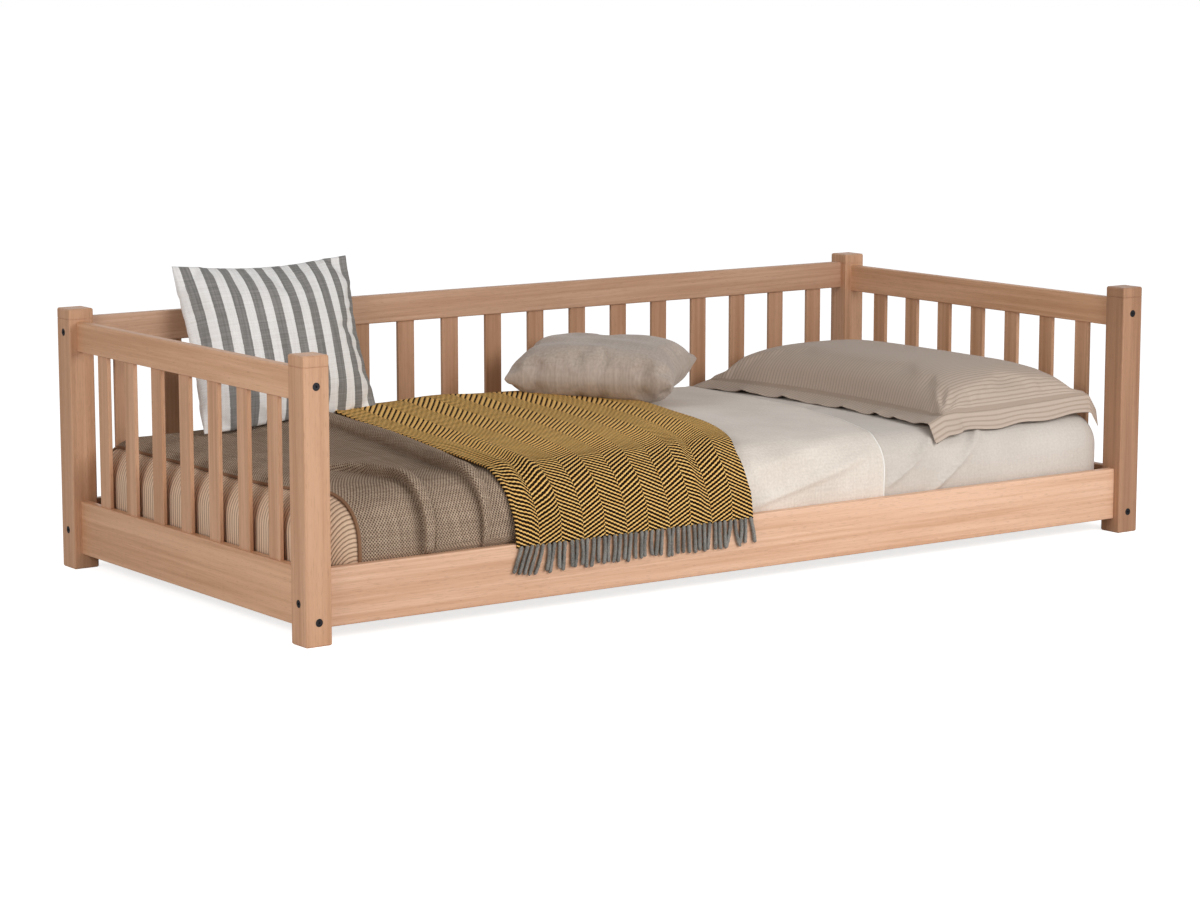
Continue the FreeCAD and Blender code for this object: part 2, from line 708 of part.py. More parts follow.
# Layers that lie across the bed: closed sections from the front edge over the top to the back edge
def skewed(points, x_front, x_back):
    """Points of a section in Y and Z, set on an upright plane that is skewed along the bed."""
    half = size("mattress_width") / 2
    placed = []
    for y, z in points:
        share = (y + half) / (2 * half)
        placed.append(V(x_front + (x_back - x_front) * share, y, z))
    return placed


def shoulder_points(offset, lift, side):
    """Start, middle and end of the round over one upper edge of the mattress, at an offset."""
    edge = size("mattress_edge")
    half = size("mattress_width") / 2
    top = value(MATTRESS_TOP)
    y = side * (half - edge)
    reach = edge + offset + lift
    diagonal = reach / math.sqrt(2)
    return ((y + side * reach, top - edge), (y + side * diagonal, top - edge + diagonal), (y, top - edge + reach))


def layer_path(offset, crown, fold):
    """Points over the bed at an offset from the mattress, tucked in behind both rails."""
    half = size("mattress_width") / 2
    top = value(MATTRESS_TOP)
    rail = value(LOW_RAIL_TOP)
    low = rail - size("tuck_depth")
    free = rail + size("tuck_rise")
    front = shoulder_points(offset, fold, -1)
    back = shoulder_points(offset, 0, 1)
    middle = (0, top + offset + crown + fold / 2)
    return [(-half - offset, low), (-half - offset, free), front[0], front[1], front[2], middle,
            back[2], back[1], back[0], (half + offset, free), (half + offset, low)]


def path_edges(points):
    """Edges along a layer path: straight, straight, arc, arc, arc, straight, straight."""
    return [
        Part.makeLine(points[0], points[1]),
        Part.makeLine(points[1], points[2]),
        Part.Arc(points[2], points[3], points[4]).toShape(),
        Part.Arc(points[4], points[5], points[6]).toShape(),
        Part.Arc(points[6], points[7], points[8]).toShape(),
        Part.makeLine(points[8], points[9]),
        Part.makeLine(points[9], points[10]),
    ]


def closed_section(inner, outer, edges):
    """Closed wire from an inner and an outer path with the same edges."""
    ends = [Part.makeLine(inner[0], outer[0]), Part.makeLine(outer[-1], inner[-1])]
    return Part.Wire(Part.__sortEdges__(edges(outer) + edges(inner) + ends))


def layer(label, stations, inner, outer, loft):
    """Layer lofted along the bed. Station: front x, back x, crown below and height of a fold."""
    foot = foot_end()
    sections = []
    for x_front, x_back, crown, fold in stations:
        low = skewed(layer_path(inner, crown, 0), foot + x_front, foot + x_back)
        high = skewed(layer_path(outer, crown + loft, fold), foot + x_front, foot + x_back)
        sections.append(closed_section(low, high, path_edges))
    return feature(label, Part.makeLoft(sections, True, True))


LEAST_CROWN = 1.0


def crown_at(x):
    """Rise of the top sheet's filling at a place along the bed, counted from the foot end."""
    share = (x - size("top_sheet_start")) / size("top_sheet_crown_run")
    return size("top_sheet_crown") * min(max(share, 0.0), 1.0)


def make_top_sheet():
    """Top sheet, flat on the fitted sheet, with a little filling that thins out towards its hem."""
    start = size("top_sheet_start")
    full = start + size("top_sheet_crown_run")
    right = size("throw_right_front")
    crown = size("top_sheet_crown")
    foot = foot_end()
    stations = ((start, start, 0.0), (full, full, crown), (right, right, crown),
                (size("top_sheet_hem_front"), size("top_sheet_hem_back"), LEAST_CROWN))
    sections = []
    for x_front, x_back, rise in stations:
        low = skewed(layer_path(value(COVER_IN), LEAST_CROWN, 0), foot + x_front, foot + x_back)
        high = skewed(layer_path(value(COVER_OUT), LEAST_CROWN + rise, 0), foot + x_front, foot + x_back)
        sections.append(closed_section(low, high, path_edges))
    feature("top_sheet", Part.makeLoft(sections, True, True))


def between(first, second, share):
    """Station part of the way from one station to another."""
    return [a + (b - a) * share for a, b in zip(first, second)]


def make_blanket():
    """Waffle blanket over the foot half, with two folds that run slantwise over the front edge."""
    fold = size("blanket_fold_height")
    half = size("blanket_fold_width") / 2
    end = size("blanket_end")
    # front x, back x, height of a fold
    stations = [[size("blanket_hem_front"), size("blanket_hem_back"), 0]]
    for name in ("first", "second"):
        front = size(name + "_fold_front")
        back = size(name + "_fold_back")
        stations += [[front - half, back - half, 0], [front, back, fold], [front + half, back + half, 0]]
    flat = [between(stations[3], stations[4], share) for share in (0.25, 0.5, 0.75)]
    stations = stations[:4] + flat + stations[4:] + [[end, end, 0]]
    rows = []
    for x_front, x_back, height in stations:
        crown = crown_at(max(x_front, x_back)) + LEAST_CROWN + size("layer_gap")
        rows.append((x_front, x_back, crown, height))
    layer("blanket", rows, value(BLANKET_IN), value(BLANKET_OUT), size("blanket_loft"))


def throw_path(offset, gap, crown, fold):
    """Points of the throw: over the bed, down the front, over the front rail to its hem."""
    half = size("mattress_width") / 2
    top = value(MATTRESS_TOP)
    rail = value(LOW_RAIL_TOP)
    face = -value(RAIL_FACE_Y) - size("rail_thickness")
    bend = size("rail_round")
    core = (face + bend, rail - bend)
    reach = bend + gap
    diagonal = reach / math.sqrt(2)
    front = shoulder_points(offset, fold, -1)
    back = shoulder_points(offset, 0, 1)
    middle = (0, top + offset + crown + fold / 2)
    hem = core[1] - size("throw_hem_drop")
    return [(core[0] - reach, hem), (core[0] - reach, core[1]), (core[0] - diagonal, core[1] + diagonal),
            (core[0], core[1] + reach), (core[0] + bend + gap / 2, rail + 2 * gap + bend / 2),
            front[0], front[1], front[2], middle, back[2], back[1], back[0],
            (half + offset, rail + size("tuck_rise"))]


def throw_edges(points):
    """Edges along the throw's path."""
    return [
        Part.makeLine(points[0], points[1]),
        Part.Arc(points[1], points[2], points[3]).toShape(),
        Part.makeLine(points[3], points[4]),
        Part.makeLine(points[4], points[5]),
        Part.Arc(points[5], points[6], points[7]).toShape(),
        Part.Arc(points[7], points[8], points[9]).toShape(),
        Part.Arc(points[9], points[10], points[11]).toShape(),
        Part.makeLine(points[11], points[12]),
    ]


def throw_span(share):
    """Front and back place along the bed of a line in the throw, 0 at its left edge and 1 at its right."""
    left_front = size("throw_left_front")
    left_back = size("throw_left_back")
    front = left_front + (size("throw_right_front") - left_front) * share
    back = left_back + (size("throw_right_back") - left_back) * share
    return foot_end() + front, foot_end() + back


def make_throw():
    """Herringbone throw across the bed, fanned out towards the back, with shallow folds at the front."""
    gap = size("layer_gap")
    thick = size("throw_thickness")
    crown = LEAST_CROWN + gap + size("top_sheet_crown") + size("blanket_loft") + gap
    # share of the width, height of a fold
    stations = ((0, 0), (0.06, 1.0), (0.12, 0.1), (0.19, 0.7), (0.27, 0), (0.5, 0.3), (0.74, 0),
                (0.8, 0.9), (0.85, 0), (1, 0.4))
    sections = []
    for share, rise in stations:
        x_front, x_back = throw_span(share)
        fold = rise * size("throw_fold_height")
        low = skewed(throw_path(value(THROW_IN), gap, crown, 0), x_front, x_back)
        high = skewed(throw_path(value(THROW_OUT), gap + thick, crown, fold), x_front, x_back)
        sections.append(closed_section(low, high, throw_edges))
    feature("throw", Part.makeLoft(sections, True, True))


def make_fringe():
    """Row of yarn ends that hang from the throw's hem in front of the rail, a few of them askew."""
    radius = size("fringe_diameter") / 2
    length = size("fringe_length")
    gap = size("layer_gap")
    rail = value(LOW_RAIL_TOP)
    face = -value(RAIL_FACE_Y) - size("rail_thickness")
    hem = rail - size("rail_round") - size("throw_hem_drop")
    y = face - 2 * gap - radius
    start = throw_span(0)[0] + 2 * radius
    end = throw_span(1)[0] - 2 * radius
    strands = []
    for index in range(FRINGE_STRANDS):
        x = start + (end - start) * index / (FRINGE_STRANDS - 1)
        lean = FRINGE_LEAN * math.sin(index * 1.7) * math.cos(index * 0.45)
        turn = FreeCAD.Rotation(V(0, 1, 0), 180 + lean)
        strand = Part.makeCylinder(radius, length)
        drop = radius * abs(math.sin(math.radians(lean)))
        strand.Placement = FreeCAD.Placement(V(x, y, hem - gap - drop), turn)
        strands.append(strand)
    feature("throw_fringe", Part.makeCompound(strands))


# Pillows and cushion: lofts through lens sections, fullest in the middle and drawn in along the sides
def lens(x, half, below, above):
    """Closed section across a pillow: an arc below and an arc above a flat seam."""
    left = V(x, -half, 0)
    right = V(x, half, 0)
    over = Part.Arc(left, V(x, 0, above), right).toShape()
    under = Part.Arc(right, V(x, 0, -below), left).toShape()
    return Part.Wire([over, under])


def stuffed(length, width, below, above, draw, taper):
    """Stuffed pillow along X: seam at z = 0, long sides drawn in, thinning to the ends by a power."""
    seam = size("seam_thickness") / 2
    half = length / 2
    sections = []
    for share in (-1, -0.97, -0.9, -0.78, -0.6, -0.3, 0, 0.3, 0.6, 0.78, 0.9, 0.97, 1):
        fullness = (1 - share * share) ** taper
        side = width / 2 - draw * (1 - share * share)
        sections.append(lens(share * half, side, seam + (below - seam) * fullness, seam + (above - seam) * fullness))
    return Part.makeLoft(sections, True, True)


def drawn_outline(length, width, draw):
    """Flat outline with four sides that bow inwards between the corners."""
    a = length / 2
    b = width / 2
    corners = (V(-a, -b, 0), V(a, -b, 0), V(a, b, 0), V(-a, b, 0))
    middles = (V(0, draw - b, 0), V(a - draw, 0, 0), V(0, b - draw, 0), V(draw - a, 0, 0))
    sides = []
    for index in range(4):
        sides.append(Part.Arc(corners[index], middles[index], corners[(index + 1) % 4]).toShape())
    return Part.Face(Part.Wire(sides))


def make_large_pillow():
    """Large pillow at the head end, lying flat, with a sewn flange all round."""
    length = size("pillow_length")
    width = size("pillow_width")
    flange = size("pillow_flange")
    thick = size("pillow_flange_thickness")
    draw = size("pillow_draw")
    sheet = drawn_outline(length, width, draw).extrude(UP * thick)
    body = stuffed(length - 2 * flange, width - 2 * flange, thick / 2, size("pillow_height") - thick / 2, draw,
                   FULL_TAPER)
    body.translate(UP * (thick / 2))
    over = Part.makeBox(2 * length, 2 * length, 2 * length, V(-length, -length, 0))
    x = size("mattress_length") / 2 - width / 2
    z = value(MATTRESS_TOP) + value(SHEET_OUT) + size("layer_gap")
    home = FreeCAD.Placement(V(x, -size("pillow_back_shift"), z), FreeCAD.Rotation(UP, 90))
    feature("large_pillow", sheet.fuse(body.common(over)).removeSplitter(), home)


def make_small_pillow():
    """Small plain pillow, lying askew across the throw's edge with its far side a little higher."""
    height = size("small_pillow_height")
    below = height * SMALL_PILLOW_SINK
    shape = stuffed(size("small_pillow_length"), size("small_pillow_width"), below, height - below,
                    size("small_pillow_draw"), FULL_TAPER)
    turn = FreeCAD.Rotation(UP, SMALL_PILLOW_YAW).multiply(FreeCAD.Rotation(V(1, 0, 0), SMALL_PILLOW_TILT))
    x = foot_end() + size("small_pillow_from_foot")
    y = size("mattress_width") / 2 - size("small_pillow_from_back")
    return shape, V(x, y, 0), turn


def make_cushion():
    """Striped square cushion standing on the bedding and leaning back on the rail."""
    depth = size("cushion_depth") / 2
    shape = stuffed(size("cushion_width"), size("cushion_height"), depth, depth, size("cushion_draw"),
                    SOFT_TAPER)
    turn = FreeCAD.Rotation(V(1, 0, 0), 90 - CUSHION_LEAN).multiply(FreeCAD.Rotation(UP, CUSHION_ROLL))
    return shape, V(foot_end() + size("cushion_from_foot"), 0, 0), turn


def find(label):
    """Finished sub-part with this label."""
    return [item for item in parts if item.Label == label][0]


def gap_to(shape, labels):
    """Least distance from a shape to some finished sub-parts."""
    return min(shape.distToShape(find(label).Shape)[0] for label in labels)


def settle(shape, start, heading, labels):
    """Moves a shape along a heading until it lies a layer's gap from the nearest of some sub-parts."""
    clearance = size("layer_gap")
    moved = shape.copy()
    moved.Placement = start
    for step in range(SETTLE_STEPS):
        advance = gap_to(moved, labels) - clearance
        if advance < clearance / 10:
            break
        moved.Placement = FreeCAD.Placement(moved.Placement.Base + heading * advance, start.Rotation)
    return moved.Placement


def lean_back(shape, start, bedding, rail):
    """Stands a leaning shape on the bedding and slides it back until its face meets the rail."""
    clearance = size("layer_gap")
    slope = math.tan(math.radians(CUSHION_LEAN))
    spot_now = settle(shape, start, -UP, bedding)
    for step in range(LEAN_STEPS):
        spot_now = settle(shape, spot_now, V(0, 1, 0), rail)
        moved = shape.copy()
        moved.Placement = spot_now
        drop = LEAN_SHARE * (gap_to(moved, bedding) - clearance)
        if drop < clearance:
            break
        shift = V(0, -drop * slope - clearance, -drop)
        spot_now = FreeCAD.Placement(spot_now.Base + shift, spot_now.Rotation)
    return spot_now


def rest_soft_pieces():
    """Lowers the small pillow and the cushion onto the bedding, the cushion against the back rail."""
    bedding = ("blanket", "throw", "top_sheet")
    above = value(MATTRESS_TOP) + size("cushion_height") + size("cushion_depth")
    shape, point, turn = make_small_pillow()
    start = FreeCAD.Placement(V(point.x, point.y, above), turn)
    feature("small_pillow", shape, settle(shape, start, -UP, bedding))
    shape, point, turn = make_cushion()
    start = FreeCAD.Placement(V(point.x, size("mattress_width") / 4, above), turn)
    feature("striped_cushion", shape, lean_back(shape, start, bedding, ("back_top_rail",)))


def check():
    """Stops if an object failed to compute or a sub-part has no valid solid."""
    for item in doc.Objects:
        if "Invalid" in item.State or "Error" in item.State:
            raise RuntimeError("failed: " + item.Label)
    for item in parts:
        if item.Shape.isNull() or not item.Shape.isValid() or not item.Shape.Solids:
            raise RuntimeError("no valid solid: " + item.Label)


def write():
    """Writes each sub-part to its own file."""
    os.makedirs("parts", exist_ok=True)
    for item in parts:
        item.Shape.exportStep("parts/%s.step" % item.Label)


holes = joint_bores()
mortises(holes)
screw_bores(holes)
make_posts(holes)
make_rails(holes)
make_guard_slats()
make_fasteners()
make_cleats()
make_base()
doc.recompute()
mattress = make_mattress()
doc.recompute()
make_fitted_sheet(mattress)
make_foot_cover(mattress)
make_top_sheet()
make_blanket()
make_throw()
make_fringe()
make_large_pillow()
rest_soft_pieces()
doc.recompute()
check()
write()
print("%d sub-parts" % len(parts))
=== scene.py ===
# %% [markdown]
# # A low kids bed, made up and lit
#
# The timber frame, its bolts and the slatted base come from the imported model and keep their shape.
# Here they get their wood and steel, and everything soft is made again as cloth: the mattress, its
# sheets, a blanket, a throw with a fringe, two pillows and a cushion.

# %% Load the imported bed
import math
from functools import partialmethod

import bmesh
import bpy
import numpy as np
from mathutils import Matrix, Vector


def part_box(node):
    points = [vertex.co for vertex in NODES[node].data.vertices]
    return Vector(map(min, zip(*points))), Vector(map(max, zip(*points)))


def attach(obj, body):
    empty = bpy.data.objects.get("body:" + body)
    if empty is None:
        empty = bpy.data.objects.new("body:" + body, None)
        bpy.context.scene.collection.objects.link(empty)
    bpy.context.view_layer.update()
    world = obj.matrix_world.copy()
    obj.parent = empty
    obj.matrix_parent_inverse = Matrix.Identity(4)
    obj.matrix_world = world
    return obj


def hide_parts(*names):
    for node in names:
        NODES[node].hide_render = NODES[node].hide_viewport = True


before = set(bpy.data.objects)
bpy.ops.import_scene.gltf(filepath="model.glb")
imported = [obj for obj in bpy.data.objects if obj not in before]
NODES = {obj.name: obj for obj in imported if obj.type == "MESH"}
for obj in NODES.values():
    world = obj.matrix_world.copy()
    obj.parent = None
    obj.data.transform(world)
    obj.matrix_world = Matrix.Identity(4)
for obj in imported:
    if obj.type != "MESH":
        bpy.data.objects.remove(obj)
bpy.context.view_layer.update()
print("nodes in the frame:", len(NODES))

# %% [markdown]
# ## Camera, floor and light
#
# The photograph is taken from the front, left of the foot end, with a long lens a little above the bed.
# The lens and the place come from a fit of the four posts' corners. The floor is a wide pale disc that
# takes the bed's shadow; the light is a broad lamp in front, a weaker one at the foot and a pale surrounding.

# %% Camera
LENS_PIXELS = 3265.8
PICTURE_WIDTH = 1200
SENSOR = 36.0
CAMERA_PLACE = (-3.974, -5.538, 1.266)
CAMERA_YAW = math.radians(35.391)
CAMERA_PITCH = math.radians(8.809)


def placed(name, data):
    """New object for a mesh, a lamp or a camera, linked to the scene."""
    item = bpy.data.objects.new(name, data)
    scene.collection.objects.link(item)
    return item


scene = bpy.context.scene
lens = bpy.data.cameras.new("camera")
lens.sensor_fit = "HORIZONTAL"
lens.sensor_width = SENSOR
lens.lens = LENS_PIXELS / PICTURE_WIDTH * SENSOR
scene.camera = placed("camera", lens)
scene.camera.location = CAMERA_PLACE
scene.camera.rotation_euler = (math.pi / 2 - CAMERA_PITCH, 0, -CAMERA_YAW)
scene.view_settings.view_transform = "Standard"
print("lens: %.1f mm" % lens.lens)


# %% Helpers for shader nodes
def plug(source, socket):
    """Links a signal or a socket to an input, or sets a plain value on it."""
    if isinstance(source, Signal):
        source = source.socket
    if isinstance(source, bpy.types.NodeSocket):
        socket.id_data.links.new(source, socket)
    else:
        socket.default_value = source


def add(tree, kind, inputs=None, **settings):
    """New node: settings are its own properties, inputs are values or links for its sockets."""
    item = tree.nodes.new(kind)
    for key, setting in settings.items():
        setattr(item, key, setting)
    for key, source in (inputs or {}).items():
        plug(source, item.inputs[key])
    return item


class Signal:
    """One number in a shader tree. Arithmetic on signals adds Math nodes, so a pattern reads as a formula."""

    def __init__(self, tree, socket):
        self.tree = tree
        self.socket = socket

    def math(self, operation, *others):
        """Math node with this signal as its first value."""
        inputs = dict(enumerate((self, *others)))
        return Signal(self.tree, add(self.tree, "ShaderNodeMath", inputs, operation=operation).outputs[0])

    __add__ = partialmethod(math, "ADD")
    __sub__ = partialmethod(math, "SUBTRACT")
    __mul__ = partialmethod(math, "MULTIPLY")
    __truediv__ = partialmethod(math, "DIVIDE")

    def step(self, start, end):
        """0 below start, 1 above end, smooth between."""
        item = add(self.tree, "ShaderNodeMapRange", interpolation_type="SMOOTHSTEP",
                   inputs={"Value": self, "From Min": start, "From Max": end})
        return Signal(self.tree, item.outputs["Result"])


def signals(tree, sockets):
    """Sockets as signals, by their names."""
    return {socket.name: Signal(tree, socket) for socket in sockets}


def object_place(tree):
    """Object coordinates, in metres."""
    return add(tree, "ShaderNodeTexCoord").outputs["Object"]


def parts(tree, vector):
    """The three numbers of a vector."""
    return list(signals(tree, add(tree, "ShaderNodeSeparateXYZ", {0: vector}).outputs).values())


def noise(tree, vector, stretch, detail=2.0):
    """Cloudy pattern from 0 to 1 with its own number of bumps per metre along each axis."""
    scaled = add(tree, "ShaderNodeVectorMath", {0: vector, 1: stretch}, operation="MULTIPLY").outputs[0]
    item = add(tree, "ShaderNodeTexNoise", {"Vector": scaled, "Scale": 1.0, "Detail": detail})
    return Signal(tree, item.outputs["Fac"])


def tone(red, green, blue):
    """Colour for a shader from the values of a paint program, 0 to 255."""
    share = np.array((red, green, blue)) / 255.0
    linear = np.where(share <= 0.04045, share / 12.92, ((share + 0.055) / 1.055) ** 2.4)
    return (*(float(x) for x in linear), 1.0)


def mix(share, first, second):
    """Colour part of the way from the first to the second. Plain colours are given from 0 to 255."""
    first, second = [tone(*side) if isinstance(side, tuple) else side for side in (first, second)]
    return add(share.tree, "ShaderNodeMix", {0: share, 6: first, 7: second}, data_type="RGBA").outputs[2]


def new_finish(name, rough=0.5, shine=0.5, sheen=0.0, **plain):
    """Material with a Principled shader. Plain values go straight onto its sockets."""
    material = bpy.data.materials.new(name)
    material.use_nodes = True
    shader = material.node_tree.nodes["Principled BSDF"]
    plain.update(Roughness=rough, Specular_IOR_Level=shine, Sheen_Weight=sheen)
    for label, setting in plain.items():
        shader.inputs[label.replace("_", " ")].default_value = setting
    return material, material.node_tree, shader


def paint(shader, colour, height, depth):
    """Colour of a shader, and its bump: a height of 0 to 1 that stands for a depth in metres."""
    plug(colour, shader.inputs["Base Color"])
    item = add(shader.id_data, "ShaderNodeBump", {"Height": height, "Distance": depth, "Strength": 1.0})
    plug(item.outputs["Normal"], shader.inputs["Normal"])


SOCKET_KINDS = {"Vector": "Vector", "Pale": "Color", "Deep": "Color", "Color": "Color"}


def new_group(name, inputs, outputs):
    """Empty node group. Its sockets carry numbers, unless the list of kinds says otherwise.

    Returns its tree, its incoming signals and the sockets that lead out.
    """
    tree = bpy.data.node_groups.new(name, "ShaderNodeTree")
    for way, labels in (("INPUT", inputs), ("OUTPUT", outputs)):
        for label in labels:
            kind = "NodeSocket" + SOCKET_KINDS.get(label, "Float")
            tree.interface.new_socket(label, in_out=way, socket_type=kind)
    entry = signals(tree, tree.nodes.new("NodeGroupInput").outputs)
    return tree, entry, tree.nodes.new("NodeGroupOutput").inputs


def use_group(tree, group, **inputs):
    """Places a node group in a material and returns its outputs."""
    return signals(tree, add(tree, "ShaderNodeGroup", inputs, node_tree=group).outputs)


# %% Floor and surrounding
FLOOR_RADIUS = 60.0
FLOOR_GLOW = 0.75
AMBIENT = 0.31
turn = np.linspace(0, math.tau, 96, endpoint=False)
rim = FLOOR_RADIUS * np.stack([np.cos(turn), np.sin(turn), 0 * turn], -1)
floor_mesh = bpy.data.meshes.new("floor")
floor_mesh.from_pydata(rim.tolist(), [], [list(range(len(rim)))])
floor = placed("floor", floor_mesh)
floor_finish, tree, shader = new_finish(
    "pale_floor", rough=0.9, shine=0.1, Base_Color=(0.9, 0.9, 0.9, 1),
    Emission_Color=(1, 1, 1, 1))
seen = Signal(tree, add(tree, "ShaderNodeLightPath").outputs["Is Camera Ray"])
plug(seen * FLOOR_GLOW, shader.inputs["Emission Strength"])
floor_mesh.materials.append(floor_finish)

world = bpy.data.worlds.new("surrounding")
scene.world = world
world.use_nodes = True
sky = world.node_tree
paths = signals(sky, add(sky, "ShaderNodeLightPath").outputs)
direct = paths["Is Camera Ray"].math("MAXIMUM", paths["Is Glossy Ray"])
direct = direct.math("MAXIMUM", paths["Is Transmission Ray"])
ground = sky.nodes["Background"].inputs
ground["Color"].default_value = (1, 1, 1, 1)
plug(direct * (1 - AMBIENT) + AMBIENT, ground["Strength"])


# %% Lamps
def soft_lamp(name, place, target, wide, tall, power):
    """Rectangular lamp that points from its place to a target."""
    lamp = bpy.data.lights.new(name, "AREA")
    lamp.shape = "RECTANGLE"
    lamp.size, lamp.size_y, lamp.energy = wide, tall, power
    item = placed(name, lamp)
    item.location = place
    x, y, z = np.array(target) - place
    item.rotation_euler = (math.atan2(math.hypot(x, y), -z), 0, math.atan2(y, x) - math.pi / 2)


soft_lamp("front_lamp", (0.6, -2.9, 1.45), (0.1, -0.3, 0.2), wide=2.5, tall=1.0, power=54)
soft_lamp("foot_lamp", (-3.9, -1.4, 2.0), (-0.8, -0.1, 0.25), wide=1.4, tall=1.0, power=46)
print("floor, surrounding and lamps are set")

# %% [markdown]
# ## Timber
#
# The frame is pale, pinkish beech. Beech has a straight, quiet figure: broad soft bands along the board,
# finer streaks inside them, and short dark flecks about a millimetre wide. Stretched noise gives all
# three. The grain has to run along each timber, so one group makes the figure along X, and each material
# turns the coordinates first: for rails along the bed, rails across it, or upright posts and slats. Boards
# differ a little in tone, and the back rails and back slats are painted darker as shade, where less light
# reaches.

# %% Grain group
grain, entry, leave = new_group(
    "timber_grain", ("Vector", "Pale", "Deep"), ("Color", "Roughness", "Height"))
bands = noise(grain, entry["Vector"], (0.9, 19.0, 19.0))
streaks = noise(grain, entry["Vector"], (2.2, 120.0, 120.0), 3.0)
fibres = noise(grain, entry["Vector"], (12.0, 620.0, 620.0))
flecks = noise(grain, entry["Vector"], (55.0, 760.0, 760.0), 0.0).step(0.66, 0.74)
light = (bands * 0.55 + streaks * 0.5 + fibres * 0.22).step(0.47, 0.81)
plain_colour = mix(light, entry["Deep"], entry["Pale"])
plug(mix(flecks * 0.16, plain_colour, (120, 76, 48)), leave["Color"])
plug(streaks * 0.16 + 0.38, leave["Roughness"])
plug(fibres * 0.7 + streaks * 0.6 - flecks * 0.5, leave["Height"])


# %% Timbers
def timber(name, turned, pale, deep):
    """Wood with its grain along one axis: turned rotates the coordinates until that axis is X."""
    material, tree, shader = new_finish(name, Coat_Weight=0.06, Coat_Roughness=0.35, shine=0.35)
    place = add(tree, "ShaderNodeMapping", {"Vector": object_place(tree), "Rotation": turned}).outputs[0]
    figure = use_group(tree, grain, Vector=place, Pale=pale, Deep=deep)
    plug(figure["Roughness"], shader.inputs["Roughness"])
    paint(shader, figure["Color"], figure["Height"], 0.00025)
    return material


def give(material, *beginnings):
    """Sets a material on the CAD nodes whose names start with one of some words."""
    for name in NODES:
        if name.startswith(beginnings):
            for place in NODES[name].material_slots:
                place.material = material


QUARTER = math.pi / 2
TIMBERS = (
    ("beech_along_the_bed", (0.04, 0, 0), (232, 190, 160), (207, 160, 127), ("front_rail",)),
    ("beech_across_the_bed", (0, 0, QUARTER), (224, 177, 141), (198, 148, 111),
     ("foot_low_rail", "foot_top_rail", "head_low_rail", "head_top_rail")),
    ("beech_upright", (0, QUARTER, 0), (214, 168, 134), (189, 141, 106), ("post_", "foot_slat", "head_slat")),
    # The back rails and back slats get darker colours than the front timbers: painted shade at the back of
    # the bed.
    ("beech_back_rails_painted_shade", (0, 0.02, 0), (210, 170, 142), (186, 143, 113), ("back_low_rail", "back_top_rail")),
    ("beech_back_slats_painted_shade", (0, QUARTER, 0), (198, 154, 123), (174, 129, 97), ("back_slat",)),
    ("beech_dark_post", (0, QUARTER, 0), (176, 133, 103), (150, 109, 81), ("post_head_front",)),
    ("pine_slats", (0, 0, QUARTER), (232, 205, 160), (206, 170, 118), ("base_slats",)),
    ("pine_cleats", (0, 0, 0), (232, 205, 160), (206, 170, 118), ("front_cleat", "back_cleat")),
    ("dowel_wood", (0, 0, 0), (219, 178, 139), (190, 146, 106), ("locating_dowels",)),
)
for name, turned, pale, deep, beginnings in TIMBERS:
    give(timber(name, turned, tone(*pale), tone(*deep)), *beginnings)
print("kinds of timber:", len(TIMBERS))

# %% [markdown]
# ## Steel and tape
#
# The connector bolts have a black oxide finish that is never quite even, and the hidden nuts and screws
# are zinc plated. The tapes under the base are woven bands. A plain weave is shared by every cloth here,
# so it becomes a group: two sets of threads whose crowns rise and sink in turn.


# %% Steel
def steel(name, dull, bright, rough):
    """Plated steel with cloudy colour and roughness."""
    material, tree, shader = new_finish(name, Metallic=1.0)
    cloud = noise(tree, object_place(tree), (190.0, 190.0, 190.0), 4.0)
    plug(cloud * 0.22 + rough, shader.inputs["Roughness"])
    paint(shader, mix(cloud, dull, bright), cloud, 0.0001)
    return material


give(steel("black_steel", (34, 33, 35), (66, 64, 66), 0.38), "connector_bolts")
give(steel("zinc_steel", (150, 152, 156), (196, 197, 199), 0.25), "barrel_nuts", "cleat_screws")

# %% Plain weave group and the base tapes
weave, entry, leave = new_group("plain_weave", ("Along", "Across", "Pitch"), ("Height", "Slub"))
warp = (entry["Along"] / entry["Pitch"] * math.pi).math("SINE")
weft = (entry["Across"] / entry["Pitch"] * math.pi).math("SINE")
plug(warp * weft * 0.5 + 0.5, leave["Height"])
both = add(weave, "ShaderNodeCombineXYZ", {"X": entry["Along"], "Y": entry["Across"]}).outputs[0]
slub = noise(weave, both, (9.0, 260.0, 1.0)) + noise(weave, both, (260.0, 9.0, 1.0))
plug(slub * 0.5, leave["Slub"])


def woven(tree, along, across, pitch):
    """Height and slubs of a plain weave with one pitch of its threads, in metres."""
    threads = use_group(tree, weave, Along=along, Across=across, Pitch=pitch)
    return threads["Height"], threads["Slub"]


tape_finish, tree, shader = new_finish("woven_tape", rough=0.85)
along, across, _ = parts(tree, object_place(tree))
threads, slub = woven(tree, along, across, 0.002)
paint(shader, mix(slub, (196, 190, 178), (238, 234, 225)), threads, 0.0004)
give(tape_finish, "base_tapes")
print("steel and tape are on their nodes")

# %% [markdown]
# ## Meshes from arrays
#
# Each soft piece is worked out as a grid of points in numpy. A sheet has two faces and an edge, so its
# grid is doubled at the cloth's thickness and closed round the rim. Every point also keeps its place on
# the flat cloth, in metres, in an attribute called cloth; weaves and stripes read that, so they bend with
# the folds.


# %% Grids, sheets and smooth lines
def packed(*numbers):
    """Numbers of each point side by side, after they are spread to one common shape."""
    return np.stack(np.broadcast_arrays(*numbers), -1)


def quads(index, wrap=False):
    """Four-cornered faces between the neighbours in a grid of point numbers."""
    if wrap:
        index = np.concatenate([index, index[:1]], 0)
    return np.stack([index[:-1, :-1], index[1:, :-1], index[1:, 1:], index[:-1, 1:]], -1).reshape(-1, 4)


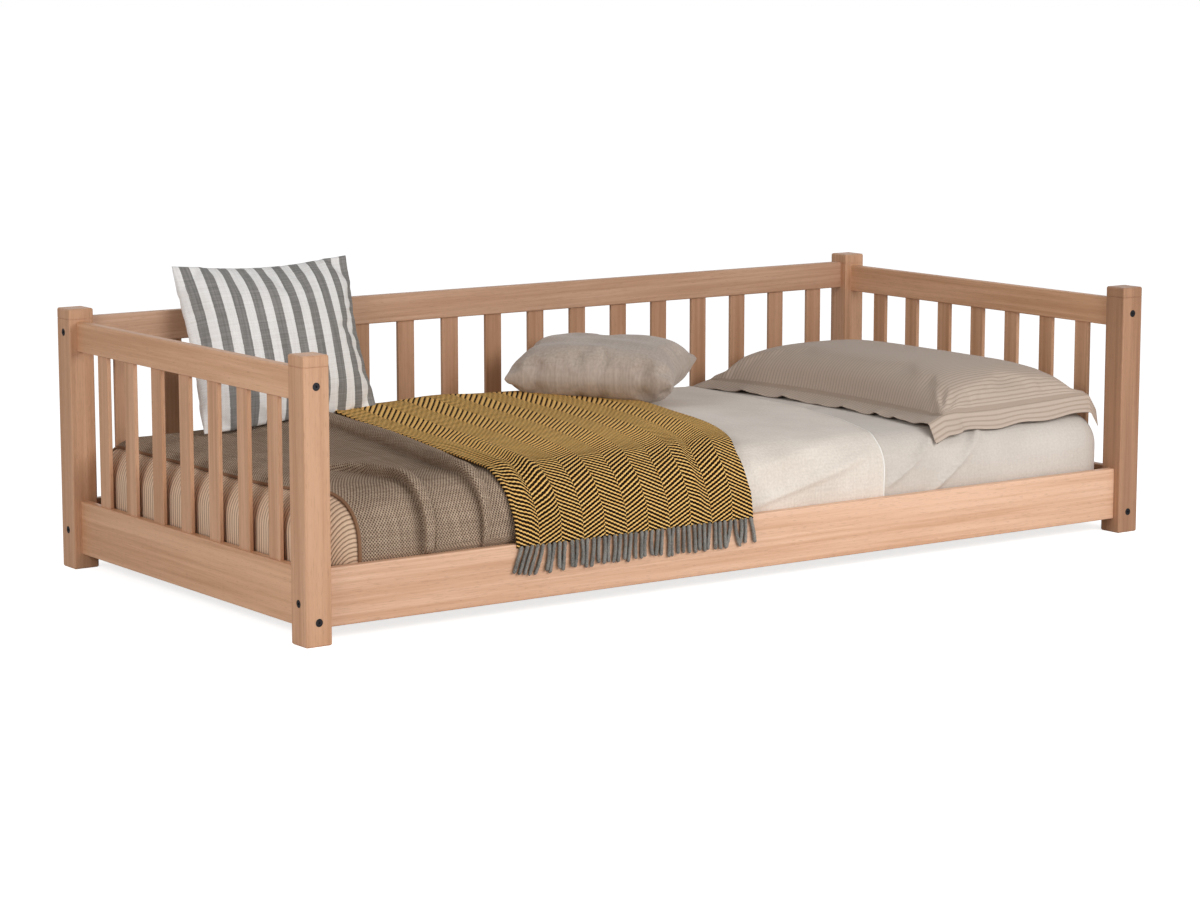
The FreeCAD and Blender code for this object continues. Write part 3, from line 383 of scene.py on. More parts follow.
def new_piece(name, points, faces, cloth, finish):
    """Mesh object at the origin with smooth faces, turned so that they enclose a volume above 0."""
    corners = points[faces]
    area = np.cross(corners[:, 2] - corners[:, 0], corners[:, 3] - corners[:, 1])
    if ((corners[:, 0] - points.mean(0)) * area).sum() < 0:
        faces = faces[:, ::-1]
    mesh = bpy.data.meshes.new(name)
    mesh.from_pydata(points.tolist(), [], faces.tolist())
    mesh.attributes.new("cloth", "FLOAT_VECTOR", "POINT").data.foreach_set(
        "vector", np.ascontiguousarray(cloth, np.float32).ravel())
    mesh.shade_smooth()
    mesh.materials.append(finish)
    print("%s: %d points" % (name, len(points)))
    return placed(name, mesh)


def new_sheet(name, outer, out, thick, cloth, finish, wrap=False):
    """Sheet of cloth: an outer grid, the same grid moved in by the thickness, and the rim between them."""
    inner = outer - out * thick
    count = outer.shape[0] * outer.shape[1]
    index = np.arange(count).reshape(outer.shape[:2])
    if wrap:
        loops = [np.append(index[:, 0], index[0, 0]), np.append(index[::-1, -1], index[-1, -1])]
    else:
        loops = [np.r_[index[:-1, 0], index[-1, :-1], index[:0:-1, -1], index[0, ::-1]]]
    faces = [quads(index, wrap), quads(index, wrap)[:, ::-1] + count]
    for loop in loops:
        faces.append(np.stack([loop[1:], loop[:-1], loop[:-1] + count, loop[1:] + count], -1))
    points = np.r_[outer.reshape(-1, 3), inner.reshape(-1, 3)]
    place = np.concatenate([cloth.reshape(-1, 3)] * 2)
    return new_piece(name, points, np.concatenate(faces), place, finish)


def facing(points):
    """Unit normals of a grid of points: the cross product of its two directions, upwards in the middle."""
    normal = np.cross(np.gradient(points, axis=0), np.gradient(points, axis=1))
    normal *= np.sign(normal[normal.shape[0] // 2, normal.shape[1] // 2, 2])
    return normal / np.maximum(np.linalg.norm(normal, axis=-1, keepdims=True), 1e-12)


def run_length(points, axis):
    """Length along a grid or a line of points, added up from its start."""
    step = np.diff(points, axis=axis, prepend=np.take(points, [0], axis))
    return np.cumsum(np.linalg.norm(step, axis=-1), axis=axis)


def smooth_line(at, knots, values, soft=0.05):
    """Line through some knots, rounded off by a running mean over a stretch of the given length."""
    fine = np.linspace(knots[0], knots[-1], 600)
    half = max(int(soft / (fine[1] - fine[0]) / 2), 1)
    window = np.hanning(2 * half + 3)[1:-1]
    padded = np.pad(np.interp(fine, knots, values), half, mode="edge")
    return np.interp(at, fine, np.convolve(padded, window / window.sum(), "valid"))


def ridge(distance, left, right):
    """Bell over a distance, with its own width on each side of the crest."""
    return np.exp(-(distance / np.where(distance < 0, left, right)) ** 2)


def fade(distance, soft):
    """Smooth switch from 1 below 0 to 0 above it."""
    return 1 / (1 + np.exp(distance / soft))


def ripple(x, y, length, seed):
    """Gentle waves of about one length in several directions, from -1 to 1, the same on every run."""
    draw = np.random.default_rng(seed)
    total = 0 * x * y
    for heading, phase, stretch in draw.uniform((0, 0, 0.7), (math.pi, math.tau, 1.5), (7, 3)):
        run = x * math.cos(heading) + y * math.sin(heading)
        total = total + np.sin(run * math.tau / (length * stretch) + phase) / 7
    return total


# %% [markdown]
# ## Cloth finishes
#
# Each fabric is one function of its place on the flat cloth. The stored attribute gives two distances in
# metres and, as a third number, the distance from the nearest hem or stitch line. The throw stores its
# columns, its rows and their slant instead.


# %% Patterns that several cloths share
def cloth_place(tree):
    """The cloth attribute as a vector, and its three numbers."""
    vector = add(tree, "ShaderNodeAttribute", attribute_name="cloth").outputs["Vector"]
    return vector, *parts(tree, vector)


ribs, entry, leave = new_group("ribs", ("Place", "Pitch"), ("Height", "Valley_Shade"))
swing = (entry["Place"] / entry["Pitch"] * math.pi).math("SINE").math("ABSOLUTE")
plug(swing.math("POWER", 0.6), leave["Height"])
# The valley share is painted shade: it is 1 in the hollows between the ribs and 0 on their crowns.
plug((swing * -1.0 + 1.0).step(0.1, 0.9), leave["Valley_Shade"])
HEM_WIDTH = 0.005


def cotton(name, pale, deep, hem=None, sheen=0.15):
    """Brushed cotton: fine weave, a short nap, soft clouds, and a hem of its own colour."""
    material, tree, shader = new_finish(name, rough=0.82, sheen=sheen, shine=0.25)
    vector, along, across, edge = cloth_place(tree)
    threads, slub = woven(tree, along, across, 0.0011)
    cloud = noise(tree, vector, (7.0, 7.0, 0.0), 3.0)
    nap = noise(tree, vector, (190.0, 190.0, 0.0), 3.0)
    colour = mix((slub * 0.25 + cloud * 0.4 + nap * 0.35).step(0.32, 0.68), deep, pale)
    height = threads * 0.2 + slub * 0.15 + nap * 0.5
    if hem:
        band = edge.step(HEM_WIDTH, HEM_WIDTH * 0.8)
        colour = mix(band, colour, hem)
        height = height + band * 1.5
    paint(shader, colour, height, 0.0007)
    return material


def ribbed(name, pale, deep, pitch, depth):
    """Ribbed cloth: ribs along the cloth's first direction, with painted shade in the valleys and along the
    stitch line.
    """
    material, tree, shader = new_finish(name, rough=0.78, sheen=0.1, shine=0.25)
    _, along, across, edge = cloth_place(tree)
    rib = use_group(tree, ribs, Place=across, Pitch=pitch)
    _, slub = woven(tree, along, across, 0.0014)
    # Near the stitch line the bump is grooved and the colour painted darker, as shade in the seam's crease.
    stitch = edge.math("ABSOLUTE").step(0.003, 0.001)
    # The mix towards the deep colour is painted shade from the rib valleys and the stitch line, together with
    # the yarn's own slubs.
    shade = (rib["Valley_Shade"] * 0.75 + slub * 0.5 + stitch).step(0.2, 1.05)
    paint(shader, mix(shade, pale, deep), rib["Height"] + slub * 0.3 - stitch * 1.5, depth)
    return material


# %% [markdown]
# ## Mattress, fitted sheet and foot cover
#
# A foam mattress is a block with rounded corners and a full, soft upper edge. All three pieces are one
# profile, up the side, round the edge and in over the top, carried along the mattress's outline in plan.
# The fitted sheet is stretched smooth, with two pull lines towards the pillow's corner, and the ribbed cover
# is drawn round the foot end only.

# %% Outline and profile
LOW_CORNER, HIGH_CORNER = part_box("mattress")
HALF_LONG, HALF_WIDE, TOP = HIGH_CORNER
BOTTOM = LOW_CORNER.z
EDGE = 0.07
CORNER = 0.08
BASE_EDGE = 0.025
SHOULDER = TOP - EDGE
QUARTER_TURN = np.linspace(0, math.pi / 2, 14)


def outline(along_side, along_end):
    """Plan of the mattress as a closed run of points, and their outward normals.

    Straight side, quarter circle, straight end, quarter circle, and the same again turned round.
    """
    x = HALF_LONG - CORNER
    y = HALF_WIDE - CORNER
    bend = packed(np.sin(QUARTER_TURN), -np.cos(QUARTER_TURN))[1:-1]
    side = packed(np.linspace(-x, x, along_side), -HALF_WIDE)
    end = packed(HALF_LONG, np.linspace(-y, y, along_end))
    turned = packed(-bend[:, 1], bend[:, 0])
    half = np.r_[side, bend * CORNER + (x, -y), end, turned * CORNER + (x, y)]
    out = np.r_[side * 0 + (0, -1), bend, end * 0 + (1, 0), turned]
    return np.r_[half, -half], np.r_[out, -out]


def profile(low, rows):
    """Profile of the side and the upper edge: straight up to the shoulder, then a quarter circle inwards.

    Returns distance in from the outline, height, and the normal's two parts.
    """
    up = np.linspace(low, SHOULDER, rows, endpoint=False)
    sine, cosine = np.sin(QUARTER_TURN), np.cos(QUARTER_TURN)
    return (np.r_[0 * up, EDGE * (1 - cosine)], np.r_[up, SHOULDER + EDGE * sine],
            np.r_[0 * up + 1, cosine], np.r_[0 * up, sine])


def carried(plan, plan_out, shape, goal, shares):
    """Profile carried along a plan, then rows that run level from the last ring towards a goal line.

    Returns points and outward normals.
    """
    inset, height, outward, upward = shape
    flat = plan[:, None] - plan_out[:, None] * inset[:, None]
    slope = plan_out[:, None] * outward[:, None]
    level = flat[:, -1:] + (goal[:, None] - flat[:, -1:]) * shares[:, None]
    skin = packed(flat[..., 0], flat[..., 1], height)
    out = packed(slope[..., 0], slope[..., 1], upward)
    level = packed(level[..., 0], level[..., 1], TOP)
    return np.concatenate([skin, level], 1), np.concatenate([out, 0 * level + (0, 0, 1)], 1)


def spine(plan):
    """Line along the middle of the top, where the rows from both sides meet."""
    return packed(np.clip(plan[:, 0], HALF_WIDE - HALF_LONG, HALF_LONG - HALF_WIDE), 0)


def weld(piece):
    """Joins points that lie on each other, such as along the middle line of a closed top."""
    shape = bmesh.new()
    shape.from_mesh(piece.data)
    bmesh.ops.remove_doubles(shape, verts=shape.verts, dist=0.00002)
    bmesh.ops.recalc_face_normals(shape, faces=shape.faces)
    shape.to_mesh(piece.data)
    shape.free()


# %% Mattress
QUILT = 0.09
CLOSING = np.linspace(0, 1, 9)[1:]
ticking, tree, shader = new_finish("mattress_ticking", rough=0.85, sheen=0.1)
along, across, _ = parts(tree, object_place(tree))
threads, slub = woven(tree, along, across, 0.0016)
first, second = [(run / QUILT * math.pi).math("SINE") for run in (along + across, along - across)]
swell_and_shade = (first * second).math("ABSOLUTE").math("POWER", 0.5)
# The quilt's swells are lighter and its stitched hollows darker: painted shade, added to the bump of the same
# swell.
colour = mix(swell_and_shade * 0.6 + slub * 0.4, (206, 202, 196), (240, 238, 233))
paint(shader, colour, swell_and_shade + threads * 0.06, 0.004)

plan, plan_out = outline(120, 50)
turn = QUARTER_TURN[:-1]
base = (BASE_EDGE * (1 - np.sin(turn)), BOTTOM + BASE_EDGE * (1 - np.cos(turn)), np.sin(turn), -np.cos(turn))
shape = [np.r_[low, high] for low, high in zip(base, profile(BOTTOM + BASE_EDGE, 10))]
upper, _ = carried(plan, plan_out, shape, spine(plan), CLOSING)
first_ring = upper[:, :1]
to_middle = packed(*spine(plan).T, BOTTOM)[:, None] - first_ring
lower = first_ring + to_middle * (1 - CLOSING[:, None] + CLOSING[0])
skin = np.concatenate([lower, upper], 1)
index = np.arange(skin.size // 3).reshape(skin.shape[:2])
points = skin.reshape(-1, 3)
mattress = new_piece("mattress_foam", points, quads(index, True), points, ticking)
weld(mattress)

# %% Fitted sheet
SHEET_LIFT = 0.0015
SHEET_THICK = 0.0012
sheet_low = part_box("fitted_sheet")[0].z
plan, plan_out = outline(260, 60)
skin, out = carried(plan, plan_out, profile(sheet_low, 12), spine(plan), CLOSING)
x, y, z = np.moveaxis(skin, -1, 0)


def pull(x, y, z, start, end, width):
    """Pull line between two points on the bed's front: a bell across it, faded at its ends and on top."""
    way = np.array(end) - start
    length = np.hypot(*way)
    run = ((x - start[0]) * way[0] + (z - start[1]) * way[1]) / length
    off = ((x - start[0]) * way[1] - (z - start[1]) * way[0]) / length
    ends = fade(-run, 0.012) * fade(run - length, 0.012)
    return ridge(off, width, width * 0.6) * ends * fade(y + HALF_WIDE - 0.05, 0.008)


FRONT_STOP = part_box("front_rail")[1].y + 0.0003
BACK_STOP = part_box("back_low_rail")[0].y - 0.0007
RAIL_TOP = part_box("front_rail")[1].z + 0.002


def kept_off_rails(points):
    """Points kept off the back rail, and off the front rail up to its upper edge."""
    x, y, z = np.moveaxis(points, -1, 0)
    free = np.clip((z - RAIL_TOP) / 0.01, 0, 1)
    return packed(x, np.clip(y, FRONT_STOP - 0.05 * free, BACK_STOP), z)


lift = 0.012 * pull(x, y, z, (0.50, 0.24), (0.375, 0.165), 0.007)
lift += 0.014 * pull(x, y, z, (0.64, 0.247), (0.49, 0.14), 0.008)
lift += 0.0016 * (0.5 + 0.5 * ripple(x, y + z, 0.16, 4)) * np.clip((z - sheet_low) / 0.05, 0, 1)
gather = np.clip(1 - (z - sheet_low) / 0.02, 0, 1)
lift += 0.0012 * gather * (1 + np.sin((x + y) * math.tau / 0.017)) / 2
sheet_cotton = cotton("fitted_sheet_cotton", (216, 207, 198), (200, 190, 180))
cloth = packed(run_length(plan, 0)[:, None], run_length(skin, 1), 1)
skin = kept_off_rails(skin + out * (SHEET_LIFT + lift)[..., None])
fitted = new_sheet("fitted_sheet_cloth", skin, out, SHEET_THICK, cloth, sheet_cotton, True)
weld(fitted)

# %% Foot cover
COVER_LIFT = 0.004
CLOTH_THICK = 0.0022
SIDE_ROWS = 14
cover_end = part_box("foot_cover")[1].x
cover_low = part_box("foot_cover")[0].z
plan, plan_out = outline(300, 130)
order = np.roll(np.arange(len(plan)), -len(plan) // 4)
keep = order[plan[order, 0] < cover_end - 0.003]
plan, plan_out = plan[keep], plan_out[keep]
goal = packed(cover_end - 0.002, plan[:, 1] * 0.8)
skin, out = carried(plan, plan_out, profile(cover_low + 0.017, SIDE_ROWS), goal, np.linspace(0, 1, 26)[1:])
x, y, z = np.moveaxis(skin, -1, 0)
edge_row = SIDE_ROWS + len(QUARTER_TURN) - 1
run = run_length(skin, 1)
past_edge = np.maximum(run[:, edge_row, None] - run, 0)
sideways = plan_out[:, 1, None]
across = np.where(past_edge > 0, y[:, edge_row, None] + sideways * np.abs(sideways) * past_edge, y)
lift = 0.0012 * (1 + ripple(x + z, y, 0.15, 9))
skin = skin + out * (COVER_LIFT + lift)[..., None]
# The deep colour shows in the rib valleys as painted shade, and in the darker slubs of the yarn.
cover_rib = ribbed("foot_cover_rib", (228, 197, 168), (174, 142, 116), 0.0085, 0.0016)
cover = new_sheet("foot_cover_cloth", skin, out, CLOTH_THICK, packed(x, across, 1), cover_rib)

# %% [markdown]
# ## Top sheet, blanket and throw
#
# These lie across the bed, so each is a strip: a section from the front rail over the mattress to the
# back, repeated along the bed. What makes it look like cloth is the height added along the normal:
# a little filling under the top sheet, two rolled folds in the blanket that run slantwise over the front
# edge, and shallow waves in the throw.

# %% Sections across the bed
ARC = EDGE + 0.005
FLAT = HALF_WIDE - EDGE
TUCK_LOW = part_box("blanket")[0].z + 0.001
TUCK = FLAT + ARC * math.pi / 2 + SHOULDER - TUCK_LOW


def over_bed(x, v):
    """Section across the bed at a distance v from its middle: level, a quarter circle, then straight down.

    Returns points and outward normals.
    """
    side = np.sign(v)
    past = np.abs(v) - FLAT
    angle = np.clip(past / ARC, 0, math.pi / 2)
    y = side * (np.minimum(np.abs(v), FLAT) + EDGE * np.sin(angle))
    z = SHOULDER + EDGE * np.cos(angle) - np.maximum(past - ARC * math.pi / 2, 0)
    return packed(x, y, z), packed(0 * x, side * np.sin(angle), np.cos(angle))


def gap_to_mattress(points):
    """Distance from the mattress: a rounded rectangle in plan with a rounded upper edge."""
    side = np.abs(points[..., :2]) - (HALF_LONG - CORNER, HALF_WIDE - CORNER)
    plan = np.linalg.norm(np.maximum(side, 0), axis=-1) + np.minimum(side.max(-1), 0) - CORNER
    both = np.stack([plan + EDGE, points[..., 2] - SHOULDER], -1)
    return np.linalg.norm(np.maximum(both, 0), axis=-1) + np.minimum(both.max(-1), 0) - EDGE


def laid(points, lift):
    """Moves points along the distance field's slope until each lies at its own height over the mattress."""
    reach = 0.0005
    for _ in range(3):
        slope = np.stack([gap_to_mattress(points + reach * axis) - gap_to_mattress(points - reach * axis)
                          for axis in np.eye(3)], -1) / (2 * reach)
        points = points - slope * (gap_to_mattress(points) - lift)[..., None]
    return points


def filling(x, v):
    """Rise of the top sheet over its filling: full under the throw, thin towards the foot and the hem.

    Across the bed it is one less a power of the distance, blunt at the back where the filling is pushed up.
    """
    crown = np.interp(x, (-0.745, -0.50, -0.25, 0.01, 0.36, 0.5), (0, 0.009, 0.019, 0.018, 0.005, 0.001))
    pushed = np.interp(x, (-0.82, -0.62, -0.2, 0.1), (0, 0.012, 0.012, 0)) * np.clip(v / 0.3, 0, 1) ** 2
    across = np.clip(1 - np.abs(v / (FLAT + 0.04)) ** np.where(v < 0, 3, 10), 0, 1)
    return 0.001 + (crown + pushed) * across


def between(lines, counts):
    """Columns along the bed between several lines: counts gives the columns from each to the next."""
    stops = np.r_[0, np.cumsum(counts)]
    column = np.arange(stops[-1] + 1)
    shares = np.stack([np.interp(column, stops, row) for row in np.eye(len(lines))], -1)
    return shares @ np.stack(lines)


# %% Top sheet
TOP_SHEET_LIFT = 0.004
v = np.linspace(-TUCK, TUCK, 190)
hem_line = smooth_line(v, (-0.58, -0.50, -0.42, -0.36, -0.225, -0.024, 0.137, 0.383, 0.58),
                       (0.357, 0.358, 0.362, 0.380, 0.431, 0.478, 0.488, 0.492, 0.490))
start = np.full(v.shape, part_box("top_sheet")[0].x)
x = between((start, start + 0.62, hem_line - 0.016, hem_line), (30, 88, 7))
skin, out = over_bed(x, v)
_, y, z = np.moveaxis(skin, -1, 0)
from_hem = hem_line - x
show = fade(-x, 0.02) * np.clip(from_hem / 0.05, 0, 1)
lift = TOP_SHEET_LIFT + filling(x, v)
lift += 0.009 * show * pull(x, y, z, (0.0, 0.15), (0.31, 0.222), 0.012)
lift += 0.006 * show * pull(x, y, z, (0.02, 0.218), (0.25, 0.256), 0.016)
lift += 0.0035 * show * (0.5 + 0.5 * ripple(x * 0.7, y - z, 0.13, 12))
lift += 0.0014 * ridge(from_hem - 0.004, 0.004, 0.004)
top_cotton = cotton("top_sheet_cotton", (234, 224, 213), (212, 200, 188), (246, 241, 235))
skin = kept_off_rails(skin + out * lift[..., None])
top_sheet = new_sheet("top_sheet_cloth", skin, out, CLOTH_THICK, packed(x, v, from_hem), top_cotton)

# %% [markdown]
# The blanket is pushed up into two rolled folds. Seen along the bed, such a roll starts with a crease, rises
# as a quarter of an ellipse, leans over the crease a little and runs out slowly on its other side. More
# columns are spent near the creases, where the cloth turns fastest. The first fold starts on the bed and
# grows towards the front edge; the second crosses the whole bed and closes above the front rail. The waffle
# weave is a lattice of pits, the product of two cosines, on a slubby yarn; the pits are painted dark as
# shade.

# %% Folds of the blanket
FIRST = dict(
    crease=((-0.58, -0.49, -0.45, -0.40, -0.36, -0.29, -0.25, -0.21, -0.17, 0.58),
            (-0.770, -0.768, -0.771, -0.776, -0.785, -0.790, -0.808, -0.835, -0.875, -0.88), 0.03),
    high=((-0.58, -0.50, -0.40, -0.30, -0.24, -0.18, -0.12, 0.58),
          (0.010, 0.017, 0.023, 0.022, 0.017, 0.008, 0.0, 0.0)),
    wide=((-0.58, -0.45, -0.36, -0.2, 0.58), (0.011, 0.012, 0.016, 0.020, 0.020)),
    narrow=((-0.58, -0.44, -0.36, -0.25, 0.58), (0.35, 0.4, 0.7, 1, 1)))
SECOND = dict(
    crease=((-0.58, -0.50, -0.45, -0.40, -0.365, -0.29, -0.17, -0.015, 0.10, 0.25, 0.58),
            (-0.641, -0.638, -0.641, -0.645, -0.648, -0.641, -0.620, -0.590, -0.578, -0.572, -0.57), 0.04),
    high=((-0.58, -0.545, -0.48, -0.42, -0.30, 0.0, 0.25, 0.45, 0.58),
          (0.0, 0.007, 0.019, 0.024, 0.025, 0.024, 0.019, 0.006, 0.0)),
    wide=((-0.58, -0.54, -0.47, -0.40, -0.25, 0.58), (0.005, 0.006, 0.013, 0.022, 0.032, 0.034)),
    narrow=((-0.58, -0.48, -0.36, -0.25, 0.58), (0.17, 0.23, 0.5, 1, 1)))


def fold(x, v, lines, fall):
    """Rolled fold over the distance from its crease: a quarter ellipse up to the crest, then a bell.

    For a distance across the bed, the lines give the crease's place along it, the fold's height, the width
    of its rise, and the share that is left of its fall.
    """
    crease, high, wide, narrow = [smooth_line(v, *lines[key]) for key in ("crease", "high", "wide", "narrow")]
    off = x - crease
    rise = np.sqrt(np.clip(1 - ((wide - off) / wide) ** 2, 0, 1))
    run_out = np.exp(-((off - wide) / (fall * narrow)) ** 2)
    return high * np.where(off < 0, 0, np.where(off < wide, rise, run_out))


# %% Blanket
BLANKET_LIFT = 0.0065
BLANKET_LOFT = 0.004
SECOND_FALL = 0.016
v = np.linspace(-TUCK, TUCK, 236)
hem_line = smooth_line(v, (-0.58, -0.50, -0.44, -0.38, -0.30, -0.20, 0.0, 0.30, 0.58),
                       (-0.910, -0.912, -0.922, -0.942, -0.962, -0.970, -0.973, -0.975, -0.976), 0.08)
end_line = np.full(v.shape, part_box("blanket")[1].x)
first, second = [smooth_line(v, *lines["crease"]) for lines in (FIRST, SECOND)]
x = between((hem_line, hem_line + 0.016, first - 0.030, first, first + 0.016, first + 0.026, first + 0.045,
             second - 0.020, second, second + 0.014, second + 0.050, end_line),
            (7, 24, 8, 14, 10, 6, 9, 6, 14, 9, 20))
skin, _ = over_bed(x, v)
squeeze = np.clip((skin[..., 2] - 0.125) / 0.03, 0.2, 1)
from_hem = x - hem_line
low_front = smooth_line(v, (-0.58, -0.50, -0.44, -0.40, 0.58), (1, 1, 0.7, 0, 0))
plump = BLANKET_LOFT * np.clip(from_hem / 0.06, 0, 1) * squeeze
pinch = 0.006 * low_front * ridge(x - first - 0.021, 0.003, 0.004)
valley = 0.004 * low_front * fade(first - 0.023 - x, 0.0016) * fade(x - first, 0.0016)
hump_line = smooth_line(v, (-0.58, -0.375, -0.295, -0.245, 0.58), (-0.862, -0.861, -0.840, -0.843, -0.85))
hump_high = smooth_line(v, (-0.58, -0.42, -0.36, -0.25, -0.15, 0.58), (0.3, 0.6, 1, 1, 0.3, 0))
hump = 0.002 * hump_high * ridge(x - hump_line, 0.02, 0.025)
waves = 0.003 * np.clip(from_hem / 0.05, 0, 1) * (0.5 + 0.5 * ripple(x, v, 0.14, 21))
folds = fold(x, v, FIRST, 0.018) + fold(x, v, SECOND, SECOND_FALL)
lift = BLANKET_LIFT + filling(x, v) + plump + squeeze * (folds + hump + waves - valley - pinch)
lift += 0.0014 * ridge(from_hem - 0.005, 0.005, 0.005)
skin = laid(skin, lift)
lean = smooth_line(v, (-0.58, -0.44, -0.34, 0.58), (0.95, 0.85, 0.5, 0.5))
skin[..., 0] -= lean * squeeze * (fold(x, v, FIRST, 0.006) + fold(x, v, SECOND, 0.008))
skin = kept_off_rails(skin)
print("blanket: folds up to %.0f mm high" % (1000 * folds.max()))

# %% Waffle weave
PIT_LONG, PIT_WIDE = 0.0064, 0.0070
waffle_finish, tree, shader = new_finish("blanket_waffle", rough=0.95, shine=0.1)
vector, along, across, edge = cloth_place(tree)
lattice = (along / PIT_LONG * math.tau).math("COSINE") * (across / PIT_WIDE * math.tau).math("COSINE")
yarn_wobble = noise(tree, vector, (300.0, 300.0, 0.0))
pits = (lattice + yarn_wobble * 0.7 - 0.35).step(-0.1, 0.75)
_, slub = woven(tree, along, across, 0.0016)
body = mix(slub.step(0.3, 0.7), (158, 136, 116), (198, 175, 153))
# The pits are painted a dark brown: painted shade in the hollows of the weave, on top of their bump.
body = mix(pits, body, (94, 73, 58))
bound = edge.step(0.0075, 0.006)
paint(shader, mix(bound, body, (142, 107, 82)),
      (pits * -1.0 + slub * 0.4) * (bound * -0.9 + 1.0), 0.0016)
cloth = packed(run_length(skin, 0), v, from_hem)
blanket = new_sheet("blanket_cloth", skin, facing(skin), CLOTH_THICK, cloth, waffle_finish)

# %% [markdown]
# The throw is a woollen herringbone: eleven columns of twill whose slope turns at every column. It is
# drawn tight over the front edge, so the rows lie closer there than on the bed; the rows are counted by
# adding up their number per metre along the cloth.

# %% Throw
THROW_THICK = 0.003
THROW_OVER_SHEET = 0.0058
THROW_OVER_BLANKET = 0.0035
LEAVE = math.radians(69.0)
THROW_RADIUS = EDGE + 0.0098
RAIL_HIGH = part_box("front_rail")[1].z
HEM_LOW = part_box("throw")[0].z
HEM_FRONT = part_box("throw")[0].y


def throw_section():
    """Path of the throw across the bed, in Y and Z, from its hem in front of the rail to the back.

    Down in front of the rail, straight up to where it leaves the mattress's edge, round the edge,
    level over the bed and round the back edge.
    """
    arc = np.linspace(LEAVE, 0, 40)
    back = np.linspace(0, math.pi / 2, 40)
    level = np.linspace(-FLAT, FLAT, 90)[1:-1]
    y = np.r_[HEM_FRONT, HEM_FRONT, -FLAT - THROW_RADIUS * np.sin(arc), level,
              FLAT + THROW_RADIUS * np.sin(back), FLAT + THROW_RADIUS]
    z = np.r_[HEM_LOW, RAIL_HIGH + 0.002, SHOULDER + THROW_RADIUS * np.cos(arc),
              0 * level + SHOULDER + THROW_RADIUS, SHOULDER + THROW_RADIUS * np.cos(back), RAIL_HIGH + 0.009]
    run = run_length(packed(y, z), 0)
    fine = np.linspace(0, run[-1], 1200)
    window = np.hanning(23)[1:-1]
    padded = [np.pad(np.interp(fine, run, side), 10, mode="reflect", reflect_type="odd") for side in (y, z)]
    y, z = [np.convolve(side, window / window.sum(), "valid") for side in padded]
    return fine - np.interp(0, y, fine), y, z


run, path_y, path_z = throw_section()
v = np.linspace(run[0], run[-1], 236)
left = smooth_line(v, (-0.60, -0.52, -0.47, -0.42, -0.36, -0.29, -0.17, -0.015, 0.104, 0.27, 0.60),
                   (-0.572, -0.575, -0.581, -0.587, -0.583, -0.575, -0.558, -0.534, -0.522, -0.510, -0.500))
right = smooth_line(v, (-0.60, -0.52, -0.48, -0.43, -0.36, -0.28, -0.226, -0.09, 0.105, 0.276, 0.60),
                    (-0.004, -0.008, -0.014, -0.016, 0.018, 0.050, 0.066, 0.098, 0.138, 0.148, 0.155), 0.06)
x = between((left, left + 0.03, right), (10, 140))
share = (x - left) / (right - left)
z = np.interp(v, run, path_z)
skin = packed(x, np.interp(v, run, path_y), z)
out = facing(skin)
free = np.clip((z - RAIL_HIGH - 0.004) / 0.04, 0, 1)
front = np.clip((-v - 0.05) / 0.3, 0, 1)
CRESTS = (
    (0.010, 0.06, 0.03, 0.022), (0.010, 0.145, 0.026, 0.03), (0.003, 0.25, 0.04, 0.05),
    (0.007, 0.77, 0.05, 0.018), (-0.003, 0.812, 0.012, 0.02), (0.004, 0.9, 0.04, 0.06))
crest = front * sum(high * ridge(share - at, left_width, right_width)
                    for high, at, left_width, right_width in CRESTS)
wave = 0.005 * (0.5 + 0.5 * ripple(share * 0.62, v * 0.6, 0.17, 31))
folded_edge = 0.003 * ridge(share - 0.008, 0.008, 0.012)
lift = filling(x, v) + BLANKET_LOFT + THROW_OVER_BLANKET + fold(x, v, SECOND, SECOND_FALL) + folded_edge
lift = np.where(v < -FLAT, free, 1) * (lift + crest + wave)
skin = skin + out * lift[..., None]
skin[..., 1] = np.minimum(skin[..., 1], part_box("back_slat_9")[0].y - 0.0008)
print("throw: %.0f mm from hem to hem" % (1000 * (v[-1] - v[0])))

# %% Herringbone
herring, entry, leave = new_group("herringbone", ("Row", "Column", "Steep"), ("Light", "Height"))
row, column, steep = entry["Row"], entry["Column"], entry["Steep"]
zigzag = column.math("PINGPONG", 1.0)
odd = (column * 0.5).math("FRACT").step(0.499, 0.501)
twill = ((row + zigzag * steep + odd * 0.5) * math.tau).math("SINE")
floats = (zigzag * 9.0 * math.pi - row * math.tau).math("SINE")
plug((twill + floats * 0.3 + steep.step(3.2, 4.0) * 0.75).step(0.3, 0.5), leave["Light"])
plug(twill * 0.4 + floats * 0.15 + 0.5, leave["Height"])

COLUMNS = 11
rows_per_metre = smooth_line(v, (-0.60, -0.44, -0.38, -0.33, -0.20, 0.0, 0.60),
                             (128, 124, 104, 82, 62, 51, 47))
rows = np.cumsum(rows_per_metre) * (v[1] - v[0])
throw_wool, tree, shader = new_finish("throw_wool", rough=0.95, shine=0.05)
_, column, row, steep = cloth_place(tree)
wool = use_group(tree, herring, Row=row, Column=column, Steep=steep)
fuzz = noise(tree, object_place(tree), (420.0, 420.0, 420.0), 3.0)
pale_yarn = mix(fuzz.step(0.3, 0.7), (240, 178, 94), (255, 216, 140))
dark_yarn = mix(fuzz.step(0.3, 0.7), (16, 11, 6), (52, 37, 20))
paint(shader, mix(wool["Light"], dark_yarn, pale_yarn), wool["Height"] + fuzz * 0.2, 0.0022)
slant = smooth_line(v, (-0.60, -0.44, -0.33, -0.20, 0.60), (58, 62, 68, 71, 71)) * (right - left) / COLUMNS
throw = new_sheet("throw_cloth", skin, out, THROW_THICK, packed(share * COLUMNS, rows, slant), throw_wool)
throw_v, throw_left, throw_right = v, left, right
